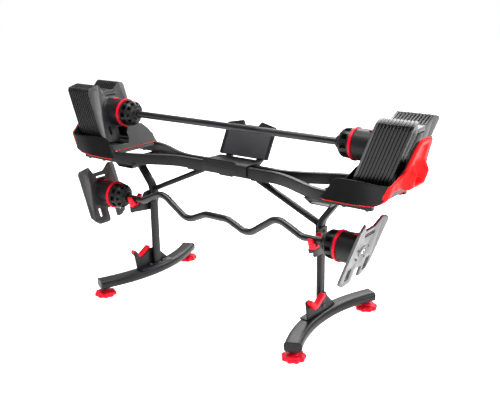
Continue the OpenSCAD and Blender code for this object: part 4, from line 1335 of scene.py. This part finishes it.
# %% The fine red line
def line_tree(coat):
    tree, put = new_tree("fine_line", Thickness=0.0018, Depth=0.0022, Corner=0.0005)
    path = put["Geometry"].node("GeometryNodeMeshToCurve", Mesh=put["Geometry"])
    level = path.node("GeometryNodeSetCurveNormal", {"mode": "Z_UP"}, Curve=path)
    box = put["Depth"].node("GeometryNodeCurvePrimitiveQuadrilateral", {"mode": "RECTANGLE"}, Width=put["Depth"],
                            Height=put["Thickness"])
    soft = box.node("GeometryNodeFilletCurve", {"mode": "POLY"}, Curve=box, Radius=put["Corner"], Count=2)
    return close_tree(tree, soft.node("GeometryNodeCurveToMesh", Curve=level, Profile_Curve=soft, Fill_Caps=True), coat)


runs = [[tray_point(p, f, tray_wall(p, f)[1] - 0.0006, 0.0006) for p, f in stations if f.x > -0.6],
        [tray_point(p, f, 0.5422, -0.0006) for p, f in stations if f.x < -0.99 and abs(p.y) < 0.112]]
edge_points, edges = [], []
for run in runs:
    edges += [(len(edge_points) + k, len(edge_points) + k + 1) for k in range(len(run) - 1)]
    edge_points += [tuple(p) for p in run]
edge = bpy.data.meshes.new("edge")
edge.from_pydata(edge_points, edges, [])
line_part = part_from(grown(edge, line_tree(SHELL_RED)))
sheet = slab(box_outline(TRAY_IN + 0.003, TRAY_OUT - 0.012, -0.1245, 0.1245, 0.012), 0.5402, 0.5438,
             lambda u, v, w: Vector((u, v, w)))
piece_of("red_edge_lines", joined([line_part, sheet]), SHELL_RED, "stand", slot="shell_red", both=True, smooth=50)


# %% The outboard arch, hollow and lobe
def step(value, a, b):
    t = min(1.0, max(0.0, (value - a) / (b - a)))
    return t * t * (3 - 2 * t)


WIDTHS = [(0.517, 0.1265), (0.560, 0.1265), (0.588, 0.1245), (0.606, 0.098), (0.626, 0.068), (0.655, 0.058),
          (0.690, 0.050), (0.706, 0.045), (0.714, 0.037), (0.7185, 0.022)]
UNDER = [(0.517, 0.6480), (0.521, 0.6600), (0.532, 0.6780), (0.546, 0.6905), (0.590, 0.7050)]


def arch_surface(y, z):
    """The wall's outer face, with the tray's rounded corners at both ends."""
    wall = straight(z, UNDER) if z < 0.590 else 0.7050 + SLOPE * (z - 0.590) + 0.0005
    past = max(0, abs(y) - (TRAY_HALF + 0.05 * (z - FLOOR_Z) - 0.016))
    return wall - 0.016 + math.sqrt(max(0, 0.016 ** 2 - past ** 2))


def arch_depth(y, z):
    """How far the red face stands out from the wall at one point."""
    rim = 0.0015 + 0.0065 * step(z, 0.530, 0.575) * (1 - 0.8 * step(abs(y), 0.080, 0.110))
    lobe = 0.026 * step(z, 0.540, 0.572) * (1 - step(z, 0.606, 0.648)) * (1 - step(abs(y), 0.040, 0.064))
    inside = (1 - step(abs(y), 0.014 + 0.016 * (1 - step(z, 0.600, 0.690)), 0.026 + 0.018 * (1 - step(z, 0.600, 0.690))))
    hollow = 0.0085 * inside * step(z, 0.580, 0.600) * (1 - step(z, 0.690, 0.706))
    cup = 0.020 * (1 - step(abs(y), 0.022, 0.038)) * step(z, 0.574, 0.590) * (1 - step(z, 0.606, 0.648))
    return rim + lobe - hollow - cup


def arch_part():
    ups = [0.517 + (0.7185 - 0.517) * k / 84 for k in range(85)]
    across = 72
    front, rear = [], []
    for level in ups:
        half = straight(level, WIDTHS)
        for i in range(across + 1):
            t = -1 + 2 * i / across
            y = half * t
            raised = (0.045 + 0.007 * step(abs(y), 0.045, 0.065)) * (1 - step(abs(y), 0.098, 0.124))
            z = level + raised * (1 - step((level - 0.517) / 0.2015, 0, 0.45))
            round_over = 0.006 * (max(0.0, abs(y) - (half - 0.006)) / 0.006) ** 2
            top = 0.006 * (max(0.0, z - 0.7125) / 0.006) ** 2
            wall = arch_surface(y, z)
            front.append(Vector((wall + max(0.0006, arch_depth(y, z) - round_over - top), y, z)))
            rear.append(Vector((wall - 0.0035, y, z)))
    w = across + 1
    rows = len(ups)
    n = len(front)
    faces = []
    for r in range(rows - 1):
        for i in range(across):
            a, b, c, d = r * w + i, r * w + i + 1, (r + 1) * w + i + 1, (r + 1) * w + i
            faces += [[a, b, c, d], [n + d, n + c, n + b, n + a]]
    for r in range(rows - 1):
        a, d = r * w, (r + 1) * w
        faces.append([d, n + d, n + a, a])
        a, d = r * w + across, (r + 1) * w + across
        faces.append([a, n + a, n + d, d])
    for i in range(across):
        faces.append([i, n + i, n + i + 1, i + 1])
        a = (rows - 1) * w + i
        faces.append([a + 1, n + a + 1, n + a, a])
    return front + rear, faces


arch = arch_part()
piece_of("red_arches", arch, SHELL_RED, "stand", ("left_tray_base", "right_tray_base"), "shell_red", both=True,
         smooth=50)
print("arch reaches x", round(max(p.x for p in arch[0]), 4))

# %% [markdown]
# ## Levelling feet
#
# A threaded stud with a moulded red hand wheel levels each corner. The wheel's
# edge is a rule: its radius swells and dips nine times round, most at mid
# height and hardly at all near the hub.

# %% Lobed wheels and threaded studs
LOBES = 9
WHEEL_ROWS = [(0.0000, 0.0300, 0.5), (0.0004, 0.0345, 0.8), (0.0020, 0.0362, 1.0), (0.0070, 0.0368, 1.0),
              (0.0120, 0.0362, 1.0), (0.0150, 0.0342, 0.9), (0.0163, 0.0310, 0.7), (0.0170, 0.0250, 0.35),
              (0.0176, 0.0190, 0.0), (0.0205, 0.0172, 0.0), (0.0218, 0.0160, 0.0), (0.0220, 0.0140, 0.0),
              (0.0220, 0.0051, 0.0), (0.0040, 0.0051, 0.0)]


def lobed_wheel(count=144):
    points, faces = [], []
    for z, radius, swell in WHEEL_ROWS:
        for k in range(count):
            a = 2 * math.pi * k / count
            wave = 0.5 + 0.5 * math.cos(LOBES * a)
            r = radius + swell * 0.0062 * (wave ** 0.8 - 0.25)
            points.append(Vector((r * math.cos(a), r * math.sin(a), z)))
    for r in range(len(WHEEL_ROWS) - 1):
        for k in range(count):
            m = (k + 1) % count
            faces.append([r * count + k, r * count + m, (r + 1) * count + m, (r + 1) * count + k])
    faces.append(list(reversed(range(count))))
    faces.append([(len(WHEEL_ROWS) - 1) * count + k for k in range(count)])
    return points, faces


thread = [(0.0045, 0.0)]
for k in range(32):
    z = 0.0050 + 0.0015 * k
    thread += [(z, 0.0044), (z + 0.00055, 0.0050), (z + 0.00090, 0.0050)]
thread += [(0.0540, 0.0044), (0.0545, 0.0)]
stud = turned(thread, lambda a, y, z: Vector((y, z, a)), 32)
wheel = lobed_wheel()
for corner in ("lf", "lb", "rf", "rb"):
    low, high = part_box("foot_stud_" + corner)
    middle = ((low.x + high.x) / 2, (low.y + high.y) / 2, 0)
    piece_of("hand_wheel_" + corner, shifted(wheel, middle), RED, "foot_" + corner + "_wheel",
             ("foot_wheel_" + corner,), "red_plastic", smooth=50)
    piece_of("threaded_stud_" + corner, shifted(stud, middle), DARK_STEEL, "foot_" + corner + "_screw",
             ("foot_stud_" + corner,), "dark_steel", smooth=60)
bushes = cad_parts["foot_bushes"].data
bushes.materials.clear()
bushes.materials.append(MOULDED)
print("foot at", [round(v, 3) for v in middle])

# %% [markdown]
# ## Floor
#
# A plain pale floor, wide enough for every view.


def floor_finish():
    finish, tree, surface, place = new_finish("pale_floor")
    cloud = grain(place, 3.0, 4.0)
    feed(tree, surface, "Base Color", cloud.blend((0.93, 0.93, 0.93, 1), (0.96, 0.96, 0.96, 1)))
    feed(tree, surface, "Roughness", 0.8 + 0.1 * (cloud - 0.5))
    surface.inputs["Emission Color"].default_value = (1, 1, 1, 1)
    surface.inputs["Emission Strength"].default_value = FLOOR_GLOW
    return finish


FLOOR_GLOW = 0.74
FLOOR_HALF = 12.0
ground = mesh_from("ground", [(-FLOOR_HALF, -FLOOR_HALF, 0), (FLOOR_HALF, -FLOOR_HALF, 0),
                              (FLOOR_HALF, FLOOR_HALF, 0), (-FLOOR_HALF, FLOOR_HALF, 0)], [[0, 1, 2, 3]])
ground.materials.append(floor_finish())
floor = bpy.data.objects.new("floor", ground)
bpy.context.scene.collection.objects.link(floor)
